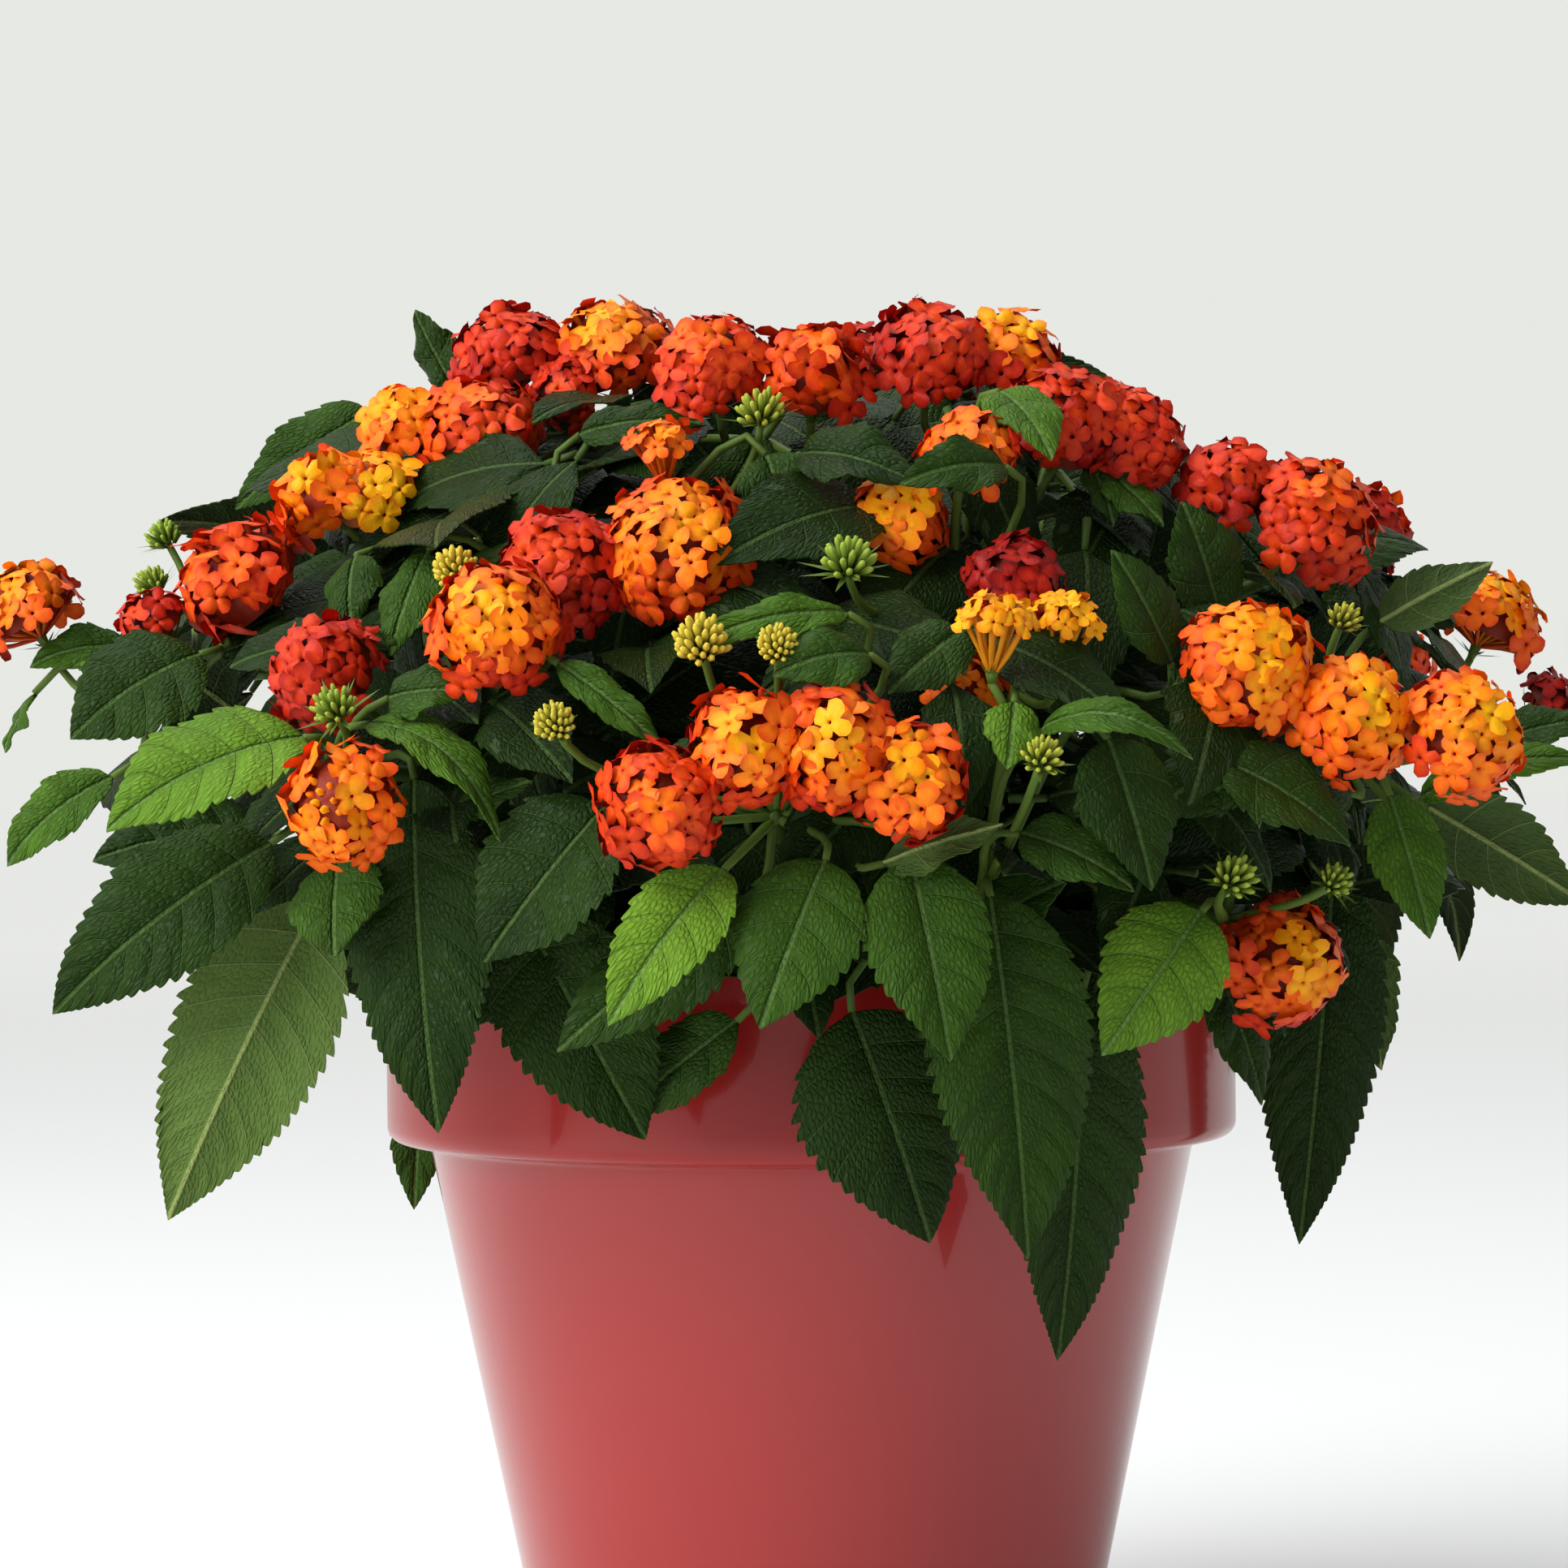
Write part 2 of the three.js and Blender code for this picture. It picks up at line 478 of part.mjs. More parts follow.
// A closed leaf: both faces of the blade share its toothed edge and stand apart at the rib, and the
// three-sided petiole comes out of the blade's base along the way that is given.
function makeLeaf(leaf, way) {
  const surface = bladeSurface(leaf);
  const points = [];
  const add = (point) => points.push(point) - 1;
  const ribShares = leaf.teeth > 3 ? [0, 0.16, 0.4, 0.7, 1] : [0, 0.2, 0.6, 1];
  const tip = { index: add(leaf.tip), share: 1 };
  const { normal, sideways } = surface(0, 0);
  const rings = [];
  const addRing = (middle, side, under) => {
    const corners = [side.clone().negate(), side, under];
    rings.push(corners.map((corner) => add(middle.clone().addScaledVector(corner, PETIOLE.radius))));
  };
  addRing(leaf.base, sideways, normal.clone().negate());
  for (let i = leaf.joints - 1; way && i >= 0; i -= 1) {
    const heading = way.getTangent(i / leaf.joints);
    const side = sideways.clone().addScaledVector(heading, -sideways.dot(heading)).normalize();
    addRing(way.getPoint(i / leaf.joints), side, heading.clone().cross(side).normalize());
  }
  const [left, right, keel] = rings[0];
  const upper = [];
  const lower = [{ index: keel, share: 0 }];
  for (const share of ribShares.slice(1, -1)) {
    const rib = surface(share, 0);
    upper.push({ index: add(rib.point.clone().addScaledVector(rib.normal, BLADE.rib / 2)), share });
    lower.push({ index: add(rib.point.clone().addScaledVector(rib.normal, -BLADE.rib / 2)), share });
  }
  const triangles = [left, right, upper[0].index];
  for (const [sign, start] of [[-1, left], [1, right]]) {
    const edge = [{ index: start, share: 0 }];
    for (let i = 0; i < leaf.teeth; i += 1) {
      const notch = i / leaf.teeth;
      const tooth = (i + 0.62) / leaf.teeth;
      if (i > 0) {
        edge.push({ index: add(surface(notch, sign, 0.94).point), share: notch });
      }
      edge.push({ index: add(surface(tooth, sign, 1.06).point), share: tooth });
    }
    edge.push(tip);
    zipChains([...upper, tip], edge, sign < 0, triangles);
    zipChains([...lower, tip], edge, sign > 0, triangles);
  }
  for (let i = 0; i + 1 < rings.length; i += 1) {
    for (let corner = 0; corner < 3; corner += 1) {
      const next = (corner + 1) % 3;
      triangles.push(rings[i][corner], rings[i + 1][corner], rings[i + 1][next]);
      triangles.push(rings[i][corner], rings[i + 1][next], rings[i][next]);
    }
  }
  const [a, b, c] = rings[rings.length - 1];
  triangles.push(a, c, b);
  return solidOf(geometryFrom(points, triangles));
}

// ---------------------------------------------------------------- flower heads and buds

const GOLDEN = Math.PI * (3 - Math.sqrt(5));

function onCap(index, count, cap) {
  const down = 1 - ((1 - Math.cos(degrees(cap))) * (index + 0.5)) / count;
  const flat = Math.sqrt(Math.max(0, 1 - down * down));
  return new THREE.Vector3(flat * Math.cos(index * GOLDEN), flat * Math.sin(index * GOLDEN), down);
}

// A head is a dome whose surface rises to the four lobes of each floret, dips at each floret's eye and
// sinks between the florets. Below, it narrows to the seat where its stalk starts.
function headRelief(head, form) {
  const rays = [];
  for (let i = 0; i < form.florets; i += 1) {
    const eye = onCap(i, form.florets, form.cap);
    rays.push({ ray: eye, reach: form.cup });
    const aside = new THREE.Vector3(1, 0.3, 0).cross(eye).normalize();
    for (let lobe = 0; lobe < 4 && form.lobe > 0; lobe += 1) {
      const toward = aside.clone().applyAxisAngle(eye, (lobe * Math.PI) / 2 + i);
      const ray = eye.clone().multiplyScalar(Math.cos(form.lobe));
      ray.addScaledVector(toward, Math.sin(form.lobe));
      if (rays.every((other) => other.ray.angleTo(ray) > 0.26)) {
        rays.push({ ray, reach: form.tip });
      }
    }
  }
  const spread = 1.15 * Math.sqrt((2 * (1 - Math.cos(degrees(form.cap)))) / (6 * form.florets)) + 0.1;
  for (let i = 0; i < 90 && form.gap > 0; i += 1) {
    const ray = onCap(i, 90, form.cap);
    if (rays.every((other) => other.ray.angleTo(ray) > spread)) {
      rays.push({ ray, reach: form.gap });
    }
  }
  const skirt = degrees(form.cap + 28);
  for (let i = 0; i < 4; i += 1) {
    const turn = (Math.PI * i) / 2 + 0.4;
    const flat = Math.sin(skirt);
    const ray = new THREE.Vector3(flat * Math.cos(turn), flat * Math.sin(turn), Math.cos(skirt));
    rays.push({ ray, reach: 0.62 });
  }
  rays.push({ ray: new THREE.Vector3(0, 0, -1), reach: form.seat });
  return starSolid(head, rays);
}

// A closed surface that every ray from its middle meets once.
function starSolid(head, rays) {
  const hull = new ConvexHull().setFromPoints(rays.map((item) => item.ray));
  const turned = new THREE.Quaternion().setFromUnitVectors(UP, head.axis);
  const spin = new THREE.Quaternion().setFromAxisAngle(UP, head.spin);
  turned.multiply(spin);
  const indexOf = new Map(rays.map((item, index) => [item.ray, index]));
  const points = rays.map(({ ray, reach }) => (
    ray.clone().multiplyScalar(reach * head.radius).applyQuaternion(turned).add(head.middle)
  ));
  const triangles = [];
  for (const face of hull.faces) {
    let edge = face.edge;
    const corners = [];
    do {
      corners.push(indexOf.get(edge.head().point));
      edge = edge.next;
    } while (edge !== face.edge);
    for (let i = 1; i + 1 < corners.length; i += 1) {
      triangles.push(corners[0], corners[i], corners[i + 1]);
    }
  }
  return solidOf(geometryFrom(points, triangles));
}

// How far a head leans out from upright: little on the plant's crown, and flat out at its skirt.
function leanAt(height) {
  return THREE.MathUtils.clamp(20 + (325 - height) * 0.5, 18, 92);
}

function headAxis(middle, lean) {
  const outer = middle.y < 0 ? -HEAD_FACES_FROM : HEAD_FACES_FROM;
  const outward = outwardFrom(new THREE.Vector3(middle.x, middle.y + outer, 0));
  const turn = degrees(lean);
  return UP.clone().multiplyScalar(Math.cos(turn)).addScaledVector(outward, Math.sin(turn));
}

function frontBunches() {
  return FRONT_BUNCHES.map((bunch, index) => {
    const [first] = bunch.heads;
    const depth = depthSeen(first.at, bunch.sunk ?? first.radius);
    return bunch.heads.map((row, place) => {
      const middle = seenAt(row.at, depth - (row.out ?? 0));
      const axis = headAxis(middle, row.lean ?? leanAt(middle.z));
      return { middle, axis, radius: row.radius, spin: index + 2 * place, form: row.funnel ? FUNNEL : HEAD };
    });
  });
}

function backBunches() {
  const draw = new Draw(4409);
  return BACK_BUNCHES.map((bunch) => {
    const heads = [];
    const turn = draw.between(0, Math.PI);
    for (let i = 0; i < bunch.count; i += 1) {
      const radius = draw.between(12.5, 15.5);
      const core = atAngle(bunch.angle, outlineAt(bunch.height) - radius, bunch.height);
      const axis = headAxis(core, leanAt(bunch.height));
      const aside = UP.clone().cross(axis).normalize().applyAxisAngle(axis, turn + i * Math.PI);
      const middle = core.addScaledVector(aside, i === 0 ? 10 : 12);
      heads.push({ middle, axis, radius, spin: draw.between(0, 6), form: HEAD });
    }
    return heads;
  });
}

function budClusters() {
  return BUD_CLUSTERS.map((row, index) => {
    const middle = seenAt(row.at, depthSeen(row.at, 1.5 * row.radius));
    return { middle, axis: headAxis(middle, 0.7 * leanAt(middle.z)), radius: row.radius, spin: index };
  });
}

// ---------------------------------------------------------------- room for each piece

// Stalks and petioles may meet their own shoot's stem and each other, and nothing else may touch.
class Room {
  constructor() {
    this.pieces = [];
  }

  add(solid, shoot, kind) {
    this.pieces.push({ solid, box: solid.boundingBox(), shoot, kind });
  }

  isFree(solid, shoot) {
    const { min, max } = solid.boundingBox();
    return this.pieces.every((piece) => {
      if (piece.shoot === shoot && piece.kind === 'stalk') {
        return true;
      }
      const apart = [0, 1, 2].some((axis) => (
        piece.box.min[axis] > max[axis] + CLEAR || piece.box.max[axis] < min[axis] - CLEAR
      ));
      return apart || solid.minGap(piece.solid, 1) >= CLEAR;
    });
  }
}

// ---------------------------------------------------------------- stalks and petioles

// Ways from the nearest stems to a place, which each arrives at along a direction.
function waysTo(goal, arriving, stems, span) {
  const places = stems.flatMap((stem, shoot) => [0.15, 0.3, 0.45, 0.6, 0.75, 0.9, 0.98].map((share) => {
    const start = stem.getPoint(share);
    return { shoot, start, miss: Math.abs(start.distanceTo(goal) - span) };
  }));
  places.sort((one, other) => one.miss - other.miss);
  const ways = [];
  for (const { shoot, start } of places.slice(0, WAYS.stems)) {
    const length = start.distanceTo(goal);
    const straight = goal.clone().sub(start).normalize();
    const aside = straight.clone().cross(UP).normalize();
    for (let bend = 0; bend < WAYS.bends; bend += 1) {
      const push = aside.clone().applyAxisAngle(straight, bend * GOLDEN);
      push.multiplyScalar(WAYS.push * bend * length);
      const first = start.clone().addScaledVector(straight, 0.35 * length);
      const second = goal.clone().addScaledVector(arriving, -0.4 * length);
      const way = new THREE.CubicBezierCurve3(start, first.add(push), second.add(push), goal);
      ways.push({ shoot, way });
    }
  }
  return ways;
}

// ---------------------------------------------------------------- leaf places

function leafTraits(seed) {
  const draw = new Draw(seed);
  return {
    twist: draw.between(-0.35, 0.35),
    fold: draw.between(0.12, 0.32),
    curl: draw.between(0.2, 0.7),
    wave: draw.between(0.4, 1.3),
    phase: draw.between(0, 6),
  };
}

function frontLeaves() {
  return FRONT_LEAVES.map((row, index) => {
    const depth = depthSeen(row.from, row.sunk ?? FRONT_LEAF.sunk);
    const base = seenAt(row.from, depth);
    const tip = seenAt(row.to, depth - row.out);
    const along = tip.clone().sub(base).normalize();
    const face = outwardFrom(new THREE.Vector3(base.x, base.y - FRONT_LEAF.faceFrom, 0));
    face.addScaledVector(UP, FRONT_LEAF.faceUp).normalize();
    face.applyAxisAngle(along, degrees(row.roll ?? 0));
    const arch = (row.roll > 90 ? -1 : 1) * (row.arch ?? FRONT_LEAF.arch);
    const teeth = row.wide > FRONT_LEAF.broad ? 5 : 3;
    return { base, tip, face, arch, wide: row.wide, teeth, joints: 2, ...leafTraits(1201 + 37 * index) };
  });
}

// Leaves spread on the crown and hang at the skirt.
function droopAt(height) {
  return THREE.MathUtils.clamp(0.2 + (270 - height) * 0.012, 0.1, 0.9);
}

// A leaf droops until its tip no longer stands proud of the plant's outline.
function droopingTip(base, along, length) {
  const toward = along.clone();
  toward.z = Math.min(toward.z, 0.1);
  let tip = base.clone();
  for (let i = 0; i < 12; i += 1) {
    tip = base.clone().addScaledVector(toward.normalize(), length);
    if (Math.hypot(tip.x, tip.y) < outlineAt(tip.z) + PAIRS.proud) {
      break;
    }
    toward.z -= 0.15;
  }
  return tip;
}

// Opposite leaves up a stem: each pair stands square to the one before it.
function pairLeaves(stem, shoot) {
  const leaves = [];
  for (const pair of SHOOTS[shoot].pairs) {
    const share = 0.98 - pair * PAIRS.spacing;
    for (const side of [-1, 1]) {
      const seed = 5003 + 211 * shoot + 17 * pair + side;
      const draw = new Draw(seed);
      const node = stem.getPoint(share);
      const heading = stem.getTangent(share);
      const level = heading.clone().cross(UP).normalize();
      level.applyAxisAngle(heading, (pair % 2) * 1.25 + draw.between(-0.3, 0.3)).multiplyScalar(side);
      const along = level.addScaledVector(heading, draw.between(0.4, 0.9));
      along.addScaledVector(UP, -droopAt(node.z)).normalize();
      const length = draw.between(PAIRS.shortest, PAIRS.longest);
      const base = node.clone().addScaledVector(along, PAIRS.petiole);
      const tip = droopingTip(base, along, length);
      const face = UP.clone().addScaledVector(outwardFrom(node), draw.between(0.3, 1));
      const arch = draw.between(0.06, 0.16);
      const wide = length * draw.between(0.48, 0.58);
      leaves.push({ base, tip, face, arch, wide, teeth: 3, joints: 2, ...leafTraits(seed + 9) });
    }
  }
  return leaves;
}

// The same leaf, tried in turn at other tilts and depths and then smaller, until one stands free.
function* leafTries(leaf) {
  const along = leaf.tip.clone().sub(leaf.base);
  const across = along.clone().cross(leaf.face).normalize();
  const facing = across.clone().cross(along).normalize();
  for (const size of [1, 0.85, 0.7]) {
    for (const shift of [0, -6, 6, -12, 12, -20]) {
      for (const tilt of [0, 6, -6, 12, -12, 18, -18]) {
        const base = leaf.base.clone().addScaledVector(facing, shift);
        const moved = along.clone().applyAxisAngle(across, degrees(tilt)).multiplyScalar(size);
        yield { ...leaf, base, tip: base.clone().add(moved), wide: leaf.wide * size };
      }
    }
  }
}

// ---------------------------------------------------------------- the whole plant

// Fusing can close off a tiny pocket between crossing faces: only the body itself is kept.
function fused(parts) {
  const bodies = wasm.Manifold.union(parts).decompose();
  bodies.sort((one, other) => other.volume() - one.volume());
  return bodies[0];
}

function growPlant(pot, soil) {
  const limbs = SHOOTS.map(limbOf);
  const stems = limbs.map(stemOf);
  const crown = makeCrown(limbs);
  const shootParts = stems.map((stem) => [tube(stem, STEM)]);
  const bunches = [...frontBunches(), ...backBunches()];
  const blooms = bunches.map((heads) => fused(heads.map((head) => headRelief(head, head.form))));

  const room = new Room();
  for (const solid of [crown, pot, soil, ...blooms]) {
    room.add(solid, NOWHERE, 'fixed');
  }
  shootParts.forEach(([stem], shoot) => room.add(stem, shoot, 'stalk'));

  // The first way from a stem that stands free, taken up by a tube in the room.
  const freeWay = (goal, arriving, size) => {
    for (const { shoot, way } of waysTo(goal, arriving, stems, size.length)) {
      const solid = tube(way, size);
      if (room.isFree(solid, shoot)) {
        room.add(solid, shoot, 'stalk');
        return { solid, shoot, way };
      }
    }
    return null;
  };

  for (const head of bunches.flat()) {
    const under = head.form.seat * head.radius + 1.5 * CLEAR;
    const found = freeWay(head.middle.clone().addScaledVector(head.axis, -under), head.axis, STALK);
    if (found) {
      shootParts[found.shoot].push(found.solid);
    }
  }

  for (const cluster of budClusters()) {
    const dome = headRelief(cluster, BUDS);
    const found = room.isFree(dome, NOWHERE) && freeWay(cluster.middle, cluster.axis, STALK);
    if (found) {
      room.add(dome, found.shoot, 'buds');
      shootParts[found.shoot].push(found.solid, dome);
    }
  }

  const placeLeaf = (leaf) => {
    for (const trial of leafTries(leaf)) {
      const blade = makeLeaf(trial, null);
      const arriving = bladeSurface(trial)(0, 0).heading;
      const size = { ...PETIOLE, steps: leaf.joints };
      const found = room.isFree(blade, NOWHERE) && freeWay(trial.base, arriving, size);
      if (found) {
        room.add(blade, found.shoot, 'blade');
        shootParts[found.shoot].push(makeLeaf(trial, found.way));
        return;
      }
    }
  };
  [...frontLeaves(), ...stems.flatMap(pairLeaves)].forEach(placeLeaf);

  const hues = [...FRONT_BUNCHES, ...BACK_BUNCHES].map((row) => row.hue);
  return { crown, shoots: shootParts.map(fused), blooms, hues };
}

// ---------------------------------------------------------------- materials and scene

function material(color, roughness) {
  return new THREE.MeshStandardMaterial({ color, roughness, metalness: 0 });
}

const MATERIALS = {
  pot: material(0xb8504c, 0.2),
  soil: material(0x3a2a1e, 0.95),
  bark: material(0x6d5a40, 0.85),
  leaf: material(0x2f5a26, 0.5),
  gold: material(0xffa414, 0.6),
  orange: material(0xf26a1a, 0.6),
  scarlet: material(0xdc3818, 0.6),
  crimson: material(0xa81a18, 0.6),
};

const lantana = new THREE.Group();
const pot = makePot();
const soil = makeSoil();
const plant = growPlant(pot, soil);
lantana.add(meshOf('pot', pot, MATERIALS.pot));
lantana.add(meshOf('soil', soil, MATERIALS.soil));
lantana.add(meshOf('crown', plant.crown, MATERIALS.bark));
plant.shoots.forEach((shoot, index) => {
  lantana.add(meshOf(`shoot_${SHOOTS[index].name}`, shoot, MATERIALS.leaf));
});
plant.blooms.forEach((bloom, index) => {
  const number = String(index + 1).padStart(2, '0');
  lantana.add(meshOf(`bloom_${number}_${plant.hues[index]}`, bloom, MATERIALS[plant.hues[index]]));
});

export default lantana;
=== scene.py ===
# A lantana in full flower in a round glazed pot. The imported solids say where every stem, leaf and
# flower head is, and this script gives each of them its fine form and finish.
import math
import bpy
import numpy as np
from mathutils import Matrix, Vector, kdtree


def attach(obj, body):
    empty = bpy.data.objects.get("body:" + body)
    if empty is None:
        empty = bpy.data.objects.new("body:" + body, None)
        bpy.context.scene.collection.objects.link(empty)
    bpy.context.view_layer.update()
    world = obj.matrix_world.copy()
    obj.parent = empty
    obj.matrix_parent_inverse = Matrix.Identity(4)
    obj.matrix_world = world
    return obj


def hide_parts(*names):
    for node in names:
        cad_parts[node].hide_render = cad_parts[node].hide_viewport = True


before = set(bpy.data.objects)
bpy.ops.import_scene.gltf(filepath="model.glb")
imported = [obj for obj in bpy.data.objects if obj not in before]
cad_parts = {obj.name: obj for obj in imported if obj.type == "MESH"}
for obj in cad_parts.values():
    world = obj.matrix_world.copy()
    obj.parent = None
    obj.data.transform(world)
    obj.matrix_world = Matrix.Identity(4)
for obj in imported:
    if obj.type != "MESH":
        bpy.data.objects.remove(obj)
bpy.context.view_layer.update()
mm = 0.001

# What the pot, the stems and the plant's outline are made from, in millimetres, as the solids have them.
pot = {"height": 185, "rim": 100, "collar": 52, "neck": 90, "foot": 63, "wall": 4, "floor": 6,
       "sides": 144, "holes": 4, "holeSides": 40, "holeRadius": 6, "holeFromAxis": 38}
soil = {"top": 170, "crown": 5, "grain": 1.6, "rings": 56, "turns": 150,
        "sideTurns": 72, "crumbs": 900, "crumb": (0.7, 2.3), "gap": 0.6}
limb = {"top": 192, "foot": 138, "trunk": 6.5, "branch": 3.0, "stem": 2.2, "woody": 0.26,
        "sunk": 7, "bow": 22, "bowAt": 0.45, "clear": 0.3}
eye = {"distance": 1150, "height": 217, "across": 371, "middle": -5.8, "roll": 0.5}
outline = [(330, 62), (306, 103), (287, 130), (268, 150), (245, 176), (217, 188),
           (190, 170), (165, 148), (130, 128), (90, 120)]
goldenTurn = math.pi * (3 - math.sqrt(5))

# Leafy shoots: where each ends (angle round the axis, reach, height) and its pairs of leaves.
shoots = {
    "left": (-74, 158, 236, ()), "left_front": (-44, 150, 220, ()),
    "low_left": (-27, 132, 196, ()), "top_left": (-60, 94, 286, (0, 1)),
    "mid_left": (-26, 114, 254, (1,)), "top_middle": (-14, 44, 296, (1, 2)),
    "front": (-3, 146, 210, ()), "mid_right": (17, 112, 248, (0, 1)),
    "top_right": (50, 72, 290, (1,)), "high_right": (67, 118, 264, (1,)),
    "right_front": (50, 148, 228, ()), "right": (85, 160, 234, ()),
    "low_right": (40, 140, 186, ()), "low_front": (16, 130, 192, ()),
    "back_right": (117, 150, 222, (0, 1)), "back_high_right": (140, 112, 268, (0, 1)),
    "back_middle": (165, 150, 216, (0, 1)), "back_top": (-168, 84, 286, (0, 1)),
    "back_left": (-140, 150, 224, (0, 1)), "back_high_left": (-112, 126, 262, (0, 1)),
    "crown_top": (172, 18, 300, (0, 1)),
}

# Leaves of the front, seen from the front: where the blade starts and ends, its width, how much
# nearer its tip is, and where it matters its arch, its roll, how deep it lies and its tone, which
# runs from 0, old and dark, to 1, young and bright.
frontLeaves = [
    dict(a=(-120, 229), b=(-167, 207), wide=31, out=12, arch=0.1, tone=0.86, quilt=1.5),
    dict(a=(-105, 232), b=(-74, 204), wide=15, out=12, roll=-35, arch=0.22, tone=0.66),
    dict(a=(-128, 204), b=(-180, 164), wide=30, out=4, roll=-28, arch=0.1, tone=0.24, quilt=1.6),
    dict(a=(-130, 206), b=(-170, 200), wide=26, out=2, arch=0.08, sunk=34, tone=0.2, quilt=2),
    dict(a=(-117, 190), b=(-153, 115), wide=36, out=-6, roll=150, tone=0.62),
    dict(a=(-94, 219), b=(-89, 135), wide=34, out=4, sunk=34, tone=0.12),
    dict(a=(-112, 200), b=(-109, 173), wide=22, out=10, tone=0.5),
    dict(a=(-144, 249), b=(-175, 229), wide=28, out=8, roll=-25, arch=0.1, tone=0.22, quilt=1.6),
    dict(a=(-165, 220), b=(-190, 199), wide=15, out=-4, roll=-30, arch=0.14, tone=0.66),
    dict(a=(-160, 250), b=(-184, 246), wide=13, out=4, roll=-40, arch=0.16, tone=0.5),
    dict(a=(-49, 212), b=(-80, 177), wide=32, out=4, sunk=30, tone=0.12),
    dict(a=(-21, 197), b=(-49, 160), wide=21, out=14, arch=0.08, tone=0.98),
    dict(a=(-15, 190), b=(-61, 154), wide=24, out=6, sunk=28, tone=0.3),
    dict(a=(3, 199), b=(-13, 159), wide=27, out=10, arch=0.06, tone=0.46),
    dict(a=(9, 163), b=(27, 108), wide=38, out=-2, sunk=22, tone=0.14),
    dict(a=(23, 199), b=(32, 151), wide=28, out=6, tone=0.46),
    dict(a=(42, 190), b=(50, 104), wide=38, out=0, sunk=26, tone=0.34),
    dict(a=(64, 168), b=(57, 80), wide=32, out=-6, sunk=30, tone=0.16),
    dict(a=(92, 186), b=(68, 152), wide=27, out=12, arch=0.08, tone=0.86),
    dict(a=(95, 174), b=(106, 140), wide=18, out=0, sunk=30, tone=0.2),
    dict(a=(124, 195), b=(115, 107), wide=30, out=-4, roll=50, sunk=50, tone=0.08),
    dict(a=(137, 213), b=(146, 179), wide=17, out=8, roll=30, tone=0.64),
    dict(a=(146, 210), b=(183, 187), wide=21, out=-4, roll=220, tone=0.3),
    dict(a=(144, 212), b=(186, 220), wide=13, out=8, arch=0.16, tone=0.66),
    dict(a=(160, 224), b=(186, 230), wide=14, out=2, arch=0.1, tone=0.3),
    dict(a=(135, 254), b=(162, 268), wide=14, out=-8, roll=180, tone=0.3),
    dict(a=(90, 246), b=(76, 273), wide=17, out=6, tone=0.34),
    dict(a=(97, 255), b=(88, 283), wide=22, out=2, sunk=30, tone=0.28),
    dict(a=(54, 229), b=(90, 222), wide=10, out=10, arch=0.28, tone=0.56),
    dict(a=(9, 257), b=(-30, 251), wide=10, out=8, arch=0.14, tone=0.7),
    dict(a=(-11, 303), b=(-28, 279), wide=16, out=12, arch=0.1, tone=0.12),
    dict(a=(-2, 295), b=(26, 287), wide=18, out=14, arch=0.12, tone=0.06),
    dict(a=(-10, 295), b=(-2, 272), wide=18, out=12, tone=0.3),
    dict(a=(43, 283), b=(18, 279), wide=14, out=10, arch=0.12, tone=0.24),
    dict(a=(-103, 306), b=(-135, 283), wide=18, out=-8, roll=-35, arch=0.06, tone=0.4),
    dict(a=(-83, 312), b=(-92, 330), wide=13, out=-2, tone=0.22),
    dict(a=(-107, 272), b=(-108, 254), wide=14, out=8, arch=0.1, tone=0.3),
    dict(a=(-90, 273), b=(-99, 248), wide=15, out=8, arch=0.06, tone=0.44),
    dict(a=(-100, 238), b=(-81, 239), wide=14, out=6, arch=0.1, tone=0.34),
    dict(a=(-59, 280), b=(-83, 276), wide=14, out=6, arch=0.1, tone=0.42),
    dict(a=(13, 243), b=(-10, 238), wide=15, out=6, arch=0.14, tone=0.34),
    dict(a=(36, 253), b=(18, 238), wide=16, out=8, arch=0.08, tone=0.24),
    dict(a=(70, 227), b=(80, 191), wide=23, out=6, tone=0.2),
    dict(a=(104, 225), b=(79, 212), wide=17, out=8, arch=0.08, tone=0.24),
    dict(a=(126, 210), b=(90, 204), wide=17, out=8, arch=0.12, tone=0.32),
    dict(a=(93, 213), b=(124, 195), wide=24, out=4, arch=0.08, sunk=28, tone=0.26),
    dict(a=(51, 213), b=(78, 199), wide=17, out=6, arch=0.1, tone=0.36),
    dict(a=(-68, 186), b=(-40, 133), wide=34, out=-4, sunk=34, tone=0.16),
    dict(a=(-18, 161), b=(-48, 139), wide=18, out=-2, sunk=32, tone=0.34),
    dict(a=(44, 305), b=(55, 284), wide=17, out=14, arch=0.1, sunk=8, tone=0.72),
    dict(a=(41, 184), b=(60, 193), wide=17, out=6, sunk=32, tone=0.42),
]

# Small leaves that the solids leave out, and one that hangs behind the pot's left side.
smallLeaves = [
    dict(a=(-183, 240), b=(-190, 226), wide=10, out=2, tone=0.6),
    dict(a=(125, 268), b=(135, 249), wide=18, out=6, tone=0.4),
    dict(a=(48, 236), b=(46, 220), wide=12, out=8, tone=0.88),
    dict(a=(-60, 246), b=(-34, 224), wide=9, out=6, arch=0.1, tone=0.6),
    dict(a=(17, 198), b=(45, 207), wide=13, out=10, roll=180, tone=0.5),
    dict(a=(-84, 211), b=(-66, 218), wide=10, out=6, sunk=30, tone=0.4),
    dict(a=(-54, 300), b=(-24, 302), wide=12, out=6, arch=0.1, tone=0.2),
    dict(a=(-80, 180), b=(-75, 161), wide=13, out=0, sunk=36, tone=0.3),
    dict(a=(127, 183), b=(135, 148), wide=19, out=-6, roll=235, sunk=44, tone=0.42),
    dict(a=(-112, 206), b=(-146, 172), wide=24, out=0, sunk=46, tone=0.08),
    dict(a=(70, 291), b=(84, 277), wide=13, out=8, tone=0.5),
    dict(a=(67, 292), b=(72, 277), wide=9, out=8, tone=0.2),
    dict(a=(-91, 151), b=(-94, 117), wide=15, out=0, roll=-75, depth=50, tone=0.42),
]

